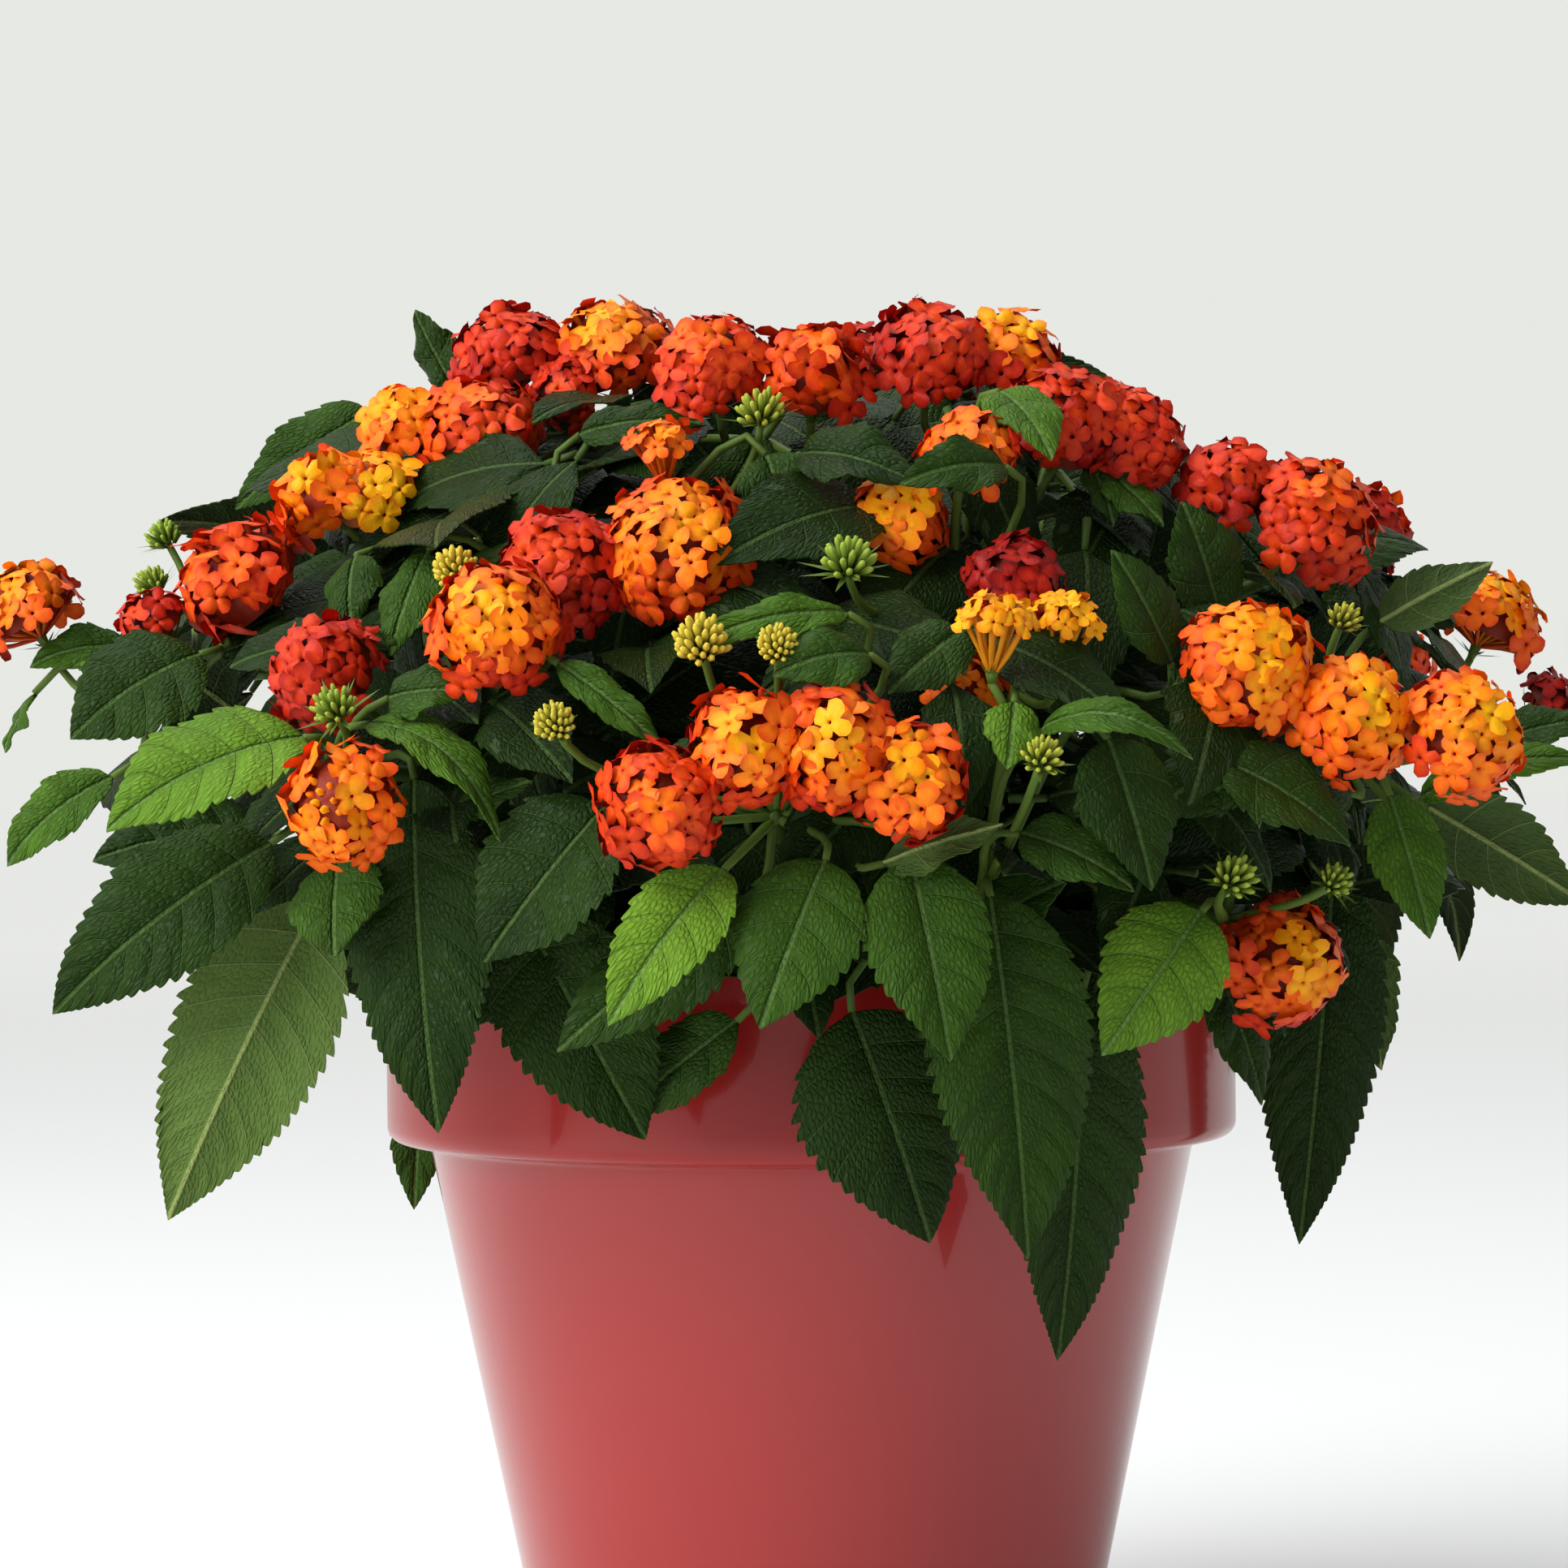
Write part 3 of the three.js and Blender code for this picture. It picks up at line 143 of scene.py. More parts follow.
# How old the florets look in the middle and at the rim of a head: 0 is golden and 1 crimson.
headAges = {"golden": (0.0, 0.1), "amber": (0.0, 0.5), "flame": (0.0, 0.7), "orange": (0.2, 0.5),
            "fire": (0.4, 0.7), "scarlet": (0.6, 0.8), "crimson": (0.8, 0.9)}

# Flower heads of the front in their bunches: how deep the bunch is sunk, then for each head its place,
# radius and age, and where it matters its lean, how much nearer it stands, and its closed buds in the
# middle. A funnel head shows its tubes.
frontBunches = [
    ("gold", None, [dict(at=(-184, 258), r=13.5, lean=30, age="amber")]),
    ("scarlet", None, [dict(at=(-132, 265), r=15.5, age="fire", loose=1),
                       dict(at=(-154, 256), r=8.5, lean=50, age="scarlet")]),
    ("gold", None, [dict(at=(-113.5, 284.5), r=11, age="amber", loose=1),
                    dict(at=(-103, 285.5), r=11, age="golden", buds=7)]),
    ("scarlet", None, [dict(at=(-94.5, 301), r=10, age="amber"),
                       dict(at=(-77, 297.5), r=15.5, age="fire")]),
    ("scarlet", None, [dict(at=(-69.5, 316.5), r=13.5, age="scarlet"),
                       dict(at=(-45, 316.5), r=15, age="flame"),
                       dict(at=(-56, 310), r=9, lean=70, out=8, age="scarlet")]),
    ("scarlet", None, [dict(at=(-21.5, 313.5), r=13.5, age="fire"),
                       dict(at=(1, 311), r=13, age="fire", loose=1)]),
    ("scarlet", None, [dict(at=(29, 315.5), r=14, age="scarlet"),
                       dict(at=(46.5, 315.5), r=13, out=-8, age="flame"),
                       dict(at=(60, 299.5), r=15, out=10, age="scarlet"),
                       dict(at=(75.5, 296.5), r=12.5, out=8, age="scarlet")]),
    ("scarlet", None, [dict(at=(98.5, 285.5), r=11, age="scarlet"),
                       dict(at=(117.5, 276.5), r=15.5, age="fire")]),
    ("orange", None, [dict(at=(37, 293), r=10, age="orange")]),
    ("orange", 32, [dict(at=(21, 278.5), r=11, age="amber")]),
    ("crimson", 26, [dict(at=(48.5, 263), r=11, age="crimson")]),
    ("gold", None, [dict(at=(43.5, 251.5), r=9, lean=20, funnel=True, age="golden")]),
    ("gold", 20, [dict(at=(60, 251.5), r=9, lean=25, funnel=True, age="golden")]),
    ("orange", 34, [dict(at=(36.5, 238), r=9, age="orange")]),
    ("orange", 12, [dict(at=(-74, 253), r=15, age="flame")]),
    ("scarlet", 27, [dict(at=(-58, 266), r=15, age="scarlet"),
                     dict(at=(-30.5, 270), r=17.5, age="flame")]),
    ("crimson", 26, [dict(at=(-113.5, 243), r=13, age="scarlet")]),
    ("gold", 10, [dict(at=(-109.5, 213), r=13.2, lean=88, age="amber", buds=3, loose=0.3)]),
    ("orange", None, [dict(at=(-36, 212), r=13.5, age="fire"),
                      dict(at=(-15, 225), r=13, age="flame"),
                      dict(at=(5.5, 225), r=13.5, age="flame"),
                      dict(at=(22.5, 217.5), r=12.5, age="flame")]),
    ("orange", None, [dict(at=(103, 242.5), r=15, age="amber"),
                      dict(at=(127, 230.5), r=13.5, age="amber"),
                      dict(at=(153, 226.5), r=13.5, age="amber")]),
    ("gold", None, [dict(at=(160.5, 253), r=13, lean=25, age="amber")]),
    ("crimson", 30, [dict(at=(174, 234), r=8, age="crimson")]),
    ("orange", None, [dict(at=(109.5, 174), r=14.5, lean=86, age="flame")]),
    ("orange", 16, [dict(at=(-35, 295), r=8, lean=30, funnel=True, age="orange")]),
]

# Heads of the back and the crown: angle round the axis, height, count and hue.
backBunches = [
    (102, 276, 2, "scarlet"), (116, 236, 1, "orange"), (134, 304, 2, "scarlet"), (147, 256, 1, "gold"),
    (166, 218, 2, "scarlet"), (176, 288, 2, "orange"), (-164, 250, 2, "crimson"), (-148, 286, 2, "scarlet"),
    (-134, 228, 1, "orange"), (-116, 262, 2, "gold"), (170, 314, 2, "scarlet"), (-122, 306, 2, "orange"),
]
hueAges = {"gold": (0.05, 0.5), "orange": (0.22, 0.68), "scarlet": (0.5, 0.84), "crimson": (0.76, 0.97)}
headRule = {"seat": 0.62, "funnelSeat": 1.05, "cap": 98, "funnelCap": 66, "facesFrom": 25}

# Clusters of green or pale yellow buds: place, radius and how far each is open.
budClusters = [
    dict(at=(-11, 305.5), r=5.5, ripe=0.3), dict(at=(-26, 251), r=6, ripe=1),
    dict(at=(-84, 269), r=5, ripe=1), dict(at=(-152, 277), r=4.6, ripe=0),
    dict(at=(-155, 266), r=4.6, ripe=0.1), dict(at=(-113, 236), r=5, ripe=0),
    dict(at=(100, 194), r=5, ripe=0.1), dict(at=(9, 270), r=6, ripe=0),
    dict(at=(54.5, 223), r=4.5, ripe=0.4),
]
smallBuds = [
    dict(at=(124, 193), r=4, ripe=0.1), dict(at=(126.5, 255), r=4, ripe=0.5),
    dict(at=(-8, 250), r=4.5, ripe=0.9), dict(at=(-61, 232), r=4.5, ripe=0.7),
]

# Where each run of random draws starts.
seeds = {"frontLeaf": 1201, "pairLeaf": 5003, "backHeads": 4409, "backTints": 991, "head": 2003, "soil": 2711,
         "stemLeaves": 7103, "stemLeaf": 8201, "domeLeaves": 5417, "domeLeaf": 12011, "coreLeaves": 6421,
         "coreLeaf": 15013}


# Seeded draws and small vector helpers

class Draw:
    def __init__(self, seed):
        self.state = seed

    def unit(self):
        self.state = (self.state * 16807) % 2147483647
        return self.state / 2147483647

    def between(self, low, high):
        return low + (high - low) * self.unit()


def vec(*numbers):
    return np.array(numbers, dtype=float)


up = vec(0, 0, 1)


def unit(v):
    return v / np.maximum(np.linalg.norm(v, axis=-1, keepdims=True), 1e-9)


def turned(v, axis, angle):
    # v turned round a unit axis by an angle in radians, for one vector or for rows of them
    angle = np.asarray(angle)[..., None]
    along = np.sum(v * axis, axis=-1, keepdims=True) * axis
    return along + (v - along) * np.cos(angle) + np.cross(axis, v) * np.sin(angle)


def clamp(value, low, high):
    return max(low, min(high, value))


# Places: the same rules as the solids follow

def atAngle(angle, reach, height):
    turn = math.radians(angle)
    return vec(reach * math.sin(turn), -reach * math.cos(turn), height)


def outlineAt(height):
    highZ, highR = outline[0]
    for z, r in outline:
        if height >= z:
            share = 0 if highZ == z else (height - z) / (highZ - z)
            return r + (highR - r) * min(share, 1)
        highZ, highR = z, r
    return highR


def seenAt(place, depth):
    scale = (eye["distance"] + depth) / eye["distance"]
    return vec(place[0] * scale, depth, eye["height"] + (place[1] - eye["height"]) * scale)


def depthSeen(place, sunk):
    depth = -80.0
    for _ in range(8):
        point = seenAt(place, depth)
        reach = max(outlineAt(point[2]) - sunk, 1)
        across = min(abs(point[0]), reach)
        depth = 0.5 * (depth - math.sqrt(reach * reach - across * across))
    return depth


def outwardFrom(x, y):
    return unit(vec(x, y, 0))


class Curve:
    # A Bezier curve through its control points
    def __init__(self, *points):
        self.points = [np.asarray(p, dtype=float) for p in points]

    def at(self, t):
        t = np.asarray(t, dtype=float)[..., None]
        row = self.points
        while len(row) > 1:
            row = [a + (b - a) * t for a, b in zip(row, row[1:])]
        return row[0]

    def heading(self, t):
        steps = [b - a for a, b in zip(self.points, self.points[1:])]
        return unit(Curve(*steps).at(t))

    def length(self):
        line = self.at(np.linspace(0, 1, 201))
        return float(np.linalg.norm(np.diff(line, axis=0), axis=1).sum())

    def halfway(self):
        # the point at half the length
        line = self.at(np.linspace(0, 1, 201))
        run = np.concatenate([[0], np.cumsum(np.linalg.norm(np.diff(line, axis=0), axis=1))])
        return self.at(np.interp(run[-1] / 2, run, np.linspace(0, 1, 201)))

    def part(self, start, end):
        first, second = self.points[1] - self.points[0], self.points[2] - self.points[1]
        middle = self.at(start) + (first * (1 - start) + second * start) * (end - start)
        return Curve(self.at(start), middle, self.at(end))


def limbOf(angle, reach, height):
    start = vec(0, 0, limb["top"] - limb["sunk"])
    end = atAngle(angle, reach, height)
    middle = start + (end - start) * limb["bowAt"]
    middle[2] += limb["bow"]
    return Curve(start, middle, end)


shootNames = list(shoots)
limbs = [limbOf(*shoots[name][:3]) for name in shootNames]
stems = [curve.part(limb["woody"] + limb["clear"] / curve.length(), 1) for curve in limbs]


def leanAt(height):
    return clamp(20 + (325 - height) * 0.5, 18, 92)


def headAxis(middle, lean):
    outer = -headRule["facesFrom"] if middle[1] < 0 else headRule["facesFrom"]
    turn = math.radians(lean)
    return up * math.cos(turn) + outwardFrom(middle[0], middle[1] + outer) * math.sin(turn)


def leafTraits(seed):
    draw = Draw(seed)
    return {"twist": draw.between(-0.35, 0.35), "fold": draw.between(0.12, 0.32),
            "curl": draw.between(0.2, 0.7), "wave": draw.between(0.4, 1.3), "phase": draw.between(0, 6)}


def frontLeaf(row, index):
    depth = row.get("depth", depthSeen(row["a"], row.get("sunk", 18)))
    base, tip = seenAt(row["a"], depth), seenAt(row["b"], depth - row["out"])
    roll = row.get("roll", 0)
    face = unit(outwardFrom(base[0], base[1] - 60) + 0.7 * up)
    face = turned(face, unit(tip - base), math.radians(roll))
    arch = (-1 if roll > 90 else 1) * row.get("arch", 0.04)
    return {"base": base, "tip": tip, "face": face, "arch": arch, "wide": row["wide"],
            "tone": row["tone"], "quilt": row.get("quilt", 1), "grade": "fine",
            **leafTraits(seeds["frontLeaf"] + 37 * index)}


def droopingTip(base, along, length):
    toward = along.copy()
    toward[2] = min(toward[2], 0.1)
    for _ in range(12):
        toward = unit(toward)
        tip = base + toward * length
        if math.hypot(tip[0], tip[1]) < outlineAt(tip[2]) + 6:
            break
        toward[2] -= 0.15
    return tip


def pairLeaves(shoot):
    leaves, stem = [], stems[shoot]
    for pair in shoots[shootNames[shoot]][3]:
        share = 0.98 - pair * 0.2
        for side in (-1, 1):
            seed = seeds["pairLeaf"] + 211 * shoot + 17 * pair + side
            draw = Draw(seed)
            node, heading = stem.at(share), stem.heading(share)
            level = unit(np.cross(heading, up))
            level = turned(level, heading, (pair % 2) * 1.25 + draw.between(-0.3, 0.3)) * side
            along = level + heading * draw.between(0.4, 0.9)
            along = unit(along - up * clamp(0.2 + (270 - node[2]) * 0.012, 0.1, 0.9))
            length = draw.between(50, 74)
            base = node + along * 9
            face = up + outwardFrom(node[0], node[1]) * draw.between(0.3, 1)
            arch, wide = draw.between(0.06, 0.16), length * draw.between(0.48, 0.58)
            tone = 0.1 + 0.75 * Draw(seed + 77).unit() ** 1.7
            leaves.append({"base": base, "tip": droopingTip(base, along, length), "face": face, "arch": arch,
                           "wide": wide, "tone": tone, "quilt": 1, "grade": "plain",
                           **leafTraits(seed + 9)})
    return leaves


def leafTries(leaf):
    along = leaf["tip"] - leaf["base"]
    across = unit(np.cross(along, leaf["face"]))
    facing = unit(np.cross(across, along))
    for size in (1, 0.85, 0.7):
        for shift in (0, -6, 6, -12, 12, -20):
            for tilt in (0, 6, -6, 12, -12, 18, -18):
                base = leaf["base"] + facing * shift
                moved = turned(along, across, math.radians(tilt)) * size
                yield {**leaf, "base": base, "tip": base + moved, "wide": leaf["wide"] * size}


def waysTo(goal, arriving, span):
    places = []
    for shoot, stem in enumerate(stems):
        for share in (0.15, 0.3, 0.45, 0.6, 0.75, 0.9, 0.98):
            start = stem.at(share)
            places.append((abs(np.linalg.norm(start - goal) - span), shoot, start))
    places.sort(key=lambda place: place[0])
    for _, shoot, start in places[:6]:
        length = np.linalg.norm(goal - start)
        straight = unit(goal - start)
        aside = unit(np.cross(straight, up))
        for bend in range(14):
            push = turned(aside, straight, bend * goldenTurn) * 0.035 * bend * length
            first = start + straight * 0.35 * length + push
            second = goal - arriving * 0.4 * length + push
            yield shoot, Curve(start, first, second, goal)


class SolidCorners:
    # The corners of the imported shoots, to find which of its possible places a leaf or stalk has
    def __init__(self):
        self.shootOf, points = [], []
        for index, name in enumerate(shootNames):
            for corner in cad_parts["shoot_" + name].data.vertices:
                points.append(corner.co)
                self.shootOf.append(index)
        self.tree = kdtree.KDTree(len(points))
        for index, point in enumerate(points):
            self.tree.insert(point, index)
        self.tree.balance()

    def shootAt(self, point, near=0.03):
        _, index, distance = self.tree.find(Vector(point * mm))
        return self.shootOf[index] if distance < near * mm else None

    def ringAt(self, point, shoot, radius):
        # whether the shoot has at least two corners that far from the point
        found = set()
        for place, index, distance in self.tree.find_range(Vector(point * mm), (radius + 0.04) * mm):
            if self.shootOf[index] == shoot and distance > (radius - 0.04) * mm:
                found.add(tuple(round(number, 5) for number in place))
        return len(found) >= 2


corners = SolidCorners()


def chosenWay(goal, arriving, span, shoot=None, byLength=False):
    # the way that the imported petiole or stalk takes, or else the first one
    first = None
    for candidate, way in waysTo(goal, arriving, span):
        if shoot is None or candidate == shoot:
            first = first or (candidate, way)
            middle = way.halfway() if byLength else way.at(0.5)
            if corners.ringAt(middle, candidate, 1.0):
                return candidate, way
    return first


print("placed", len(stems), "stems")


# Drafts of meshes

class Draft:
    # Collects the parts of one piece. Place and traits are read by the materials.
    def __init__(self, name):
        self.name = name
        self.points, self.faces, self.places, self.traits, self.skins = [], [], [], [], []
        self.count = 0

    def add(self, points, faces, skin, place=None, traits=None):
        points = np.asarray(points, dtype=float).reshape(-1, 3)
        size = len(points)
        self.points.append(points)
        self.places.append(np.zeros((size, 3)) if place is None else np.broadcast_to(place, (size, 3)))
        self.traits.append(np.zeros((size, 4)) if traits is None else np.broadcast_to(traits, (size, 4)))
        faces = np.asarray(faces, dtype=int)
        self.faces.append(faces + self.count)
        self.skins.append(np.full(len(faces), skin))
        self.count += size

    def build(self, materials, slot, *nodes):
        mesh = bpy.data.meshes.new(self.name)
        points = np.concatenate(self.points) * mm
        loops = np.concatenate([faces.ravel() for faces in self.faces])
        sizes = np.concatenate([np.full(len(faces), faces.shape[1]) for faces in self.faces])
        mesh.vertices.add(len(points))
        mesh.vertices.foreach_set("co", points.ravel())
        mesh.loops.add(len(loops))
        mesh.loops.foreach_set("vertex_index", loops)
        mesh.polygons.add(len(sizes))
        mesh.polygons.foreach_set("loop_start", np.concatenate([[0], np.cumsum(sizes)[:-1]]))
        mesh.polygons.foreach_set("material_index", np.concatenate(self.skins))
        mesh.update(calc_edges=True)
        mesh.validate()
        mesh.shade_smooth()
        place = mesh.attributes.new("place", "FLOAT_VECTOR", "POINT")
        place.data.foreach_set("vector", np.concatenate(self.places).ravel())
        traits = mesh.attributes.new("traits", "FLOAT_COLOR", "POINT")
        traits.data.foreach_set("color", np.concatenate(self.traits).ravel())
        for material in materials:
            mesh.materials.append(material)
        piece = bpy.data.objects.new(self.name, mesh)
        bpy.context.scene.collection.objects.link(piece)
        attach(piece, "root")
        if nodes:
            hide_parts(*nodes)
        return piece


def gridFaces(rows, columns, closed=False, flip=False):
    # quads between the points of a grid, which may close round each row
    r, c = np.meshgrid(np.arange(rows - 1), np.arange(columns - (0 if closed else 1)), indexing="ij")
    nextColumn = (c + 1) % columns
    quads = np.stack([r * columns + c, r * columns + nextColumn,
                      (r + 1) * columns + nextColumn, (r + 1) * columns + c], axis=-1).reshape(-1, 4)
    return quads[:, ::-1] if flip else quads


def sweep(line, radii, sides, square=0.0):
    # a tube along points, whose section may be squared a little, with both ends closed to a point
    headings = unit(np.gradient(line, axis=0))
    side = unit(np.cross(headings[0], up + vec(0.01, 0.02, 0)))
    frames = []
    for heading in headings:
        side = unit(side - heading * np.dot(side, heading))
        frames.append((side, np.cross(heading, side)))
    turns = np.linspace(0, 2 * math.pi, sides, endpoint=False)
    bulge = 1 + square * np.cos(4 * turns)
    rings = []
    for point, radius, (one, other) in zip(line, radii, frames):
        ring = np.cos(turns)[:, None] * one + np.sin(turns)[:, None] * other
        rings.append(point + ring * radius * bulge[:, None])
    rings = [np.repeat(line[:1], sides, axis=0)] + rings + [np.repeat(line[-1:], sides, axis=0)]
    return np.concatenate(rings), gridFaces(len(rings), sides, closed=True)


# Leaves

blade = {"fullness": 0.62, "point": 1.0, "slant": 0.5, "thick": 0.34, "rib": 0.75, "toothEvery": 2.9,
         "toothDeep": 0.05, "toothPeak": 0.76, "veinEvery": 7.4, "quilt": 0.6, "pleat": 0.12,
         "fineSides": (0, 0.06, 0.17, 0.33, 0.52, 0.72, 0.88, 1), "plainSides": (0, 0.08, 0.3, 0.6, 0.85, 1),
         "finePhases": (0, 0.26, 0.52, 0.74, 0.9), "plainPhases": (0, 0.4, 0.76),
         "innerSides": (0, 0.55, 1), "innerPhases": (0, 0.76)}


def fullnessAt(share):
    widest = blade["fullness"] / (blade["fullness"] + blade["point"])
    rise = (np.maximum(share, 0) / widest) ** blade["fullness"]
    fall = (np.maximum(1 - share, 0) / (1 - widest)) ** blade["point"]
    return rise * fall


def bladeFrame(leaf):
    along = leaf["tip"] - leaf["base"]
    length = np.linalg.norm(along)
    along = along / length
    across = unit(np.cross(along, leaf["face"]))
    facing = unit(np.cross(across, along))
    middle = (leaf["base"] + leaf["tip"]) / 2 + facing * 2 * leaf["arch"] * length
    return length, across, Curve(leaf["base"], middle, leaf["tip"])


def bladeSurface(leaf, share, side, grown):
    _, across, rib = bladeFrame(leaf)
    wide = np.abs(side)
    place = np.clip(share + (blade["slant"] + 0.25 * wide) * wide * share * (1 - share), 0, 1)
    tangent = rib.heading(place)
    sideways = turned(np.broadcast_to(across, tangent.shape), tangent, leaf["twist"] * (place - 0.3))
    normal = unit(np.cross(sideways, tangent))
    reach = 0.5 * leaf["wide"] * fullnessAt(place) * wide * grown
    lift = reach * math.sin(leaf["fold"]) - leaf["curl"] * reach * reach / leaf["wide"]
    wave = leaf["wave"] * wide * wide * np.sin(14 * place + leaf["phase"] + np.where(side > 0, 0, 2))
    point = rib.at(place) + sideways * (np.sign(side) * reach * math.cos(leaf["fold"]))[..., None]
    lift = lift + wave * np.minimum(1, 4 * place * (1 - place))
    return point + normal * lift[..., None], normal, reach


def leafInto(draft, leaf, skin, seed):
    grade = leaf["grade"]
    length = float(np.linalg.norm(leaf["tip"] - leaf["base"]))
    teeth = max(5, round(length / (blade["toothEvery"] * (1.7 if grade == "inner" else 1))))
    phases = np.array(blade[grade + "Phases"])
    shares = np.append(((np.arange(teeth)[:, None] + phases) / teeth).ravel(), 1)
    half = np.array(blade[grade + "Sides"])
    sides = np.concatenate([-half[:0:-1], half])
    share, side = np.meshgrid(shares, sides, indexing="ij")

    # each tooth rises slowly towards the leaf's tip and drops back
    phase = (share * teeth) % 1
    peak = blade["toothPeak"]
    rise = np.where(phase < peak, np.sin(phase / peak * math.pi / 2), (1 - phase) / (1 - peak))
    rise = np.where(share >= 1, 0, rise)
    edge = np.abs(side) ** 6 * np.clip(share * 9, 0, 1)
    uneven = 1 + 0.35 * np.sin(seed * 1.7 + np.floor(share * teeth) * 2.4 + side)
    grown = 1 + edge * blade["toothDeep"] * (2 * rise - 1.1) * uneven
    forward = share + edge * rise * 0.3 / teeth * (1 - share)

    points, normal, reach = bladeSurface(leaf, forward, side, grown)
    veins = length / blade["veinEvery"]
    swell = np.abs(np.sin(math.pi * share * veins)) ** 0.75
    inside = np.minimum(1, 4 * np.abs(side)) * (1 - np.abs(side) ** 5)
    full = np.minimum(1, fullnessAt(np.clip(share, 0, 1)) * 1.6)
    relief = leaf["quilt"] * blade["quilt"] * swell * inside * full
    pleats = np.sin(math.pi * share * veins * 3.0 + 2 * side) * np.sin(reach * 1.9 + seed)
    relief = relief + leaf["quilt"] * blade["pleat"] * pleats * inside * full
    ribRidge = blade["rib"] * np.exp(-(reach / 0.9) ** 2) * (1.05 - share)
    upper = points + normal * (relief + blade["thick"] / 2 - 0.25 * ribRidge)[..., None]
    lower = points + normal * (relief * 0.9 - blade["thick"] / 2 - ribRidge)[..., None]

    rows, columns = share.shape
    place = np.stack([share * length, np.sign(side) * reach, np.full(share.shape, seed * 37.7)], axis=-1)
    traits = np.stack([share * veins, reach / 20, np.full(share.shape, leaf["tone"]), np.zeros(share.shape)],
                      axis=-1)
    under = traits.copy()
    under[..., 3] = 1
    draft.add(upper, gridFaces(rows, columns), skin, place.reshape(-1, 3), traits.reshape(-1, 4))
    draft.add(lower, gridFaces(rows, columns, flip=True), skin, place.reshape(-1, 3), under.reshape(-1, 4))
    for column, flip in ((0, False), (columns - 1, True)):
        rim = np.stack([lower[:, column], upper[:, column]], axis=1)
        draft.add(rim, gridFaces(rows, 2, flip=flip), skin,
                  np.repeat(place[:, column], 2, axis=0), np.repeat(traits[:, column], 2, axis=0))


# Stems, stalks and petioles

# How far off the stem petioles and stalks start, and their radii at the stem and at the far end.
stalk = {"petioleSpan": 16, "span": 30, "petiole": (1.15, 0.85), "flower": (1.15, 0.95), "seat": (0.95, 1.6),
         "bud": (1.0, 0.9), "inner": (1.1, 0.8)}


def stalkInto(draft, way, radii, skin, tone, steps=8, sides=6, square=0.0):
    line = way.at(np.linspace(0, 1, steps + 1))
    points, faces = sweep(line, np.linspace(*radii, steps + 1), sides, square)
    run = np.repeat(np.linspace(0, 1, steps + 3), sides)
    traits = np.stack([run, np.zeros(len(run)), np.full(len(run), tone), np.zeros(len(run))], axis=-1)
    draft.add(points, faces, skin, points, traits)


# Flower heads and bud clusters

floret = {"size": 4.8, "notch": 0.5, "round": 0.55, "fineTurns": 24, "plainTurns": 16, "depth": 0.9,
          "tube": 0.55, "tubeSides": 6, "throat": 0.10, "ruffle": 0.7, "cup": 0.6,
          "everyMm2": 44, "tilt": 0.34}
bract = {"count": 7, "length": 5.5, "wide": 1.1}
cluster = {"cap": 104, "ripeBuds": 46, "greenBuds": 26, "bracts": 12, "bractWide": 1.3}


def onCap(index, count, cap):
    down = 1 - (1 - math.cos(math.radians(cap))) * (index + 0.5) / count
    flat = math.sqrt(max(0, 1 - down * down))
    return vec(flat * math.cos(index * goldenTurn), flat * math.sin(index * goldenTurn), down)


def basisFor(axis, spin):
    one = unit(np.cross(axis, vec(0.3, 0.2, 1) if abs(axis[2]) < 0.9 else vec(1, 0.2, 0.1)))
    one = turned(one, axis, spin)
    return one, np.cross(axis, one)


def inHead(head, ray):
    one, other = head["basis"]
    return one * ray[0] + other * ray[1] + head["axis"] * ray[2]


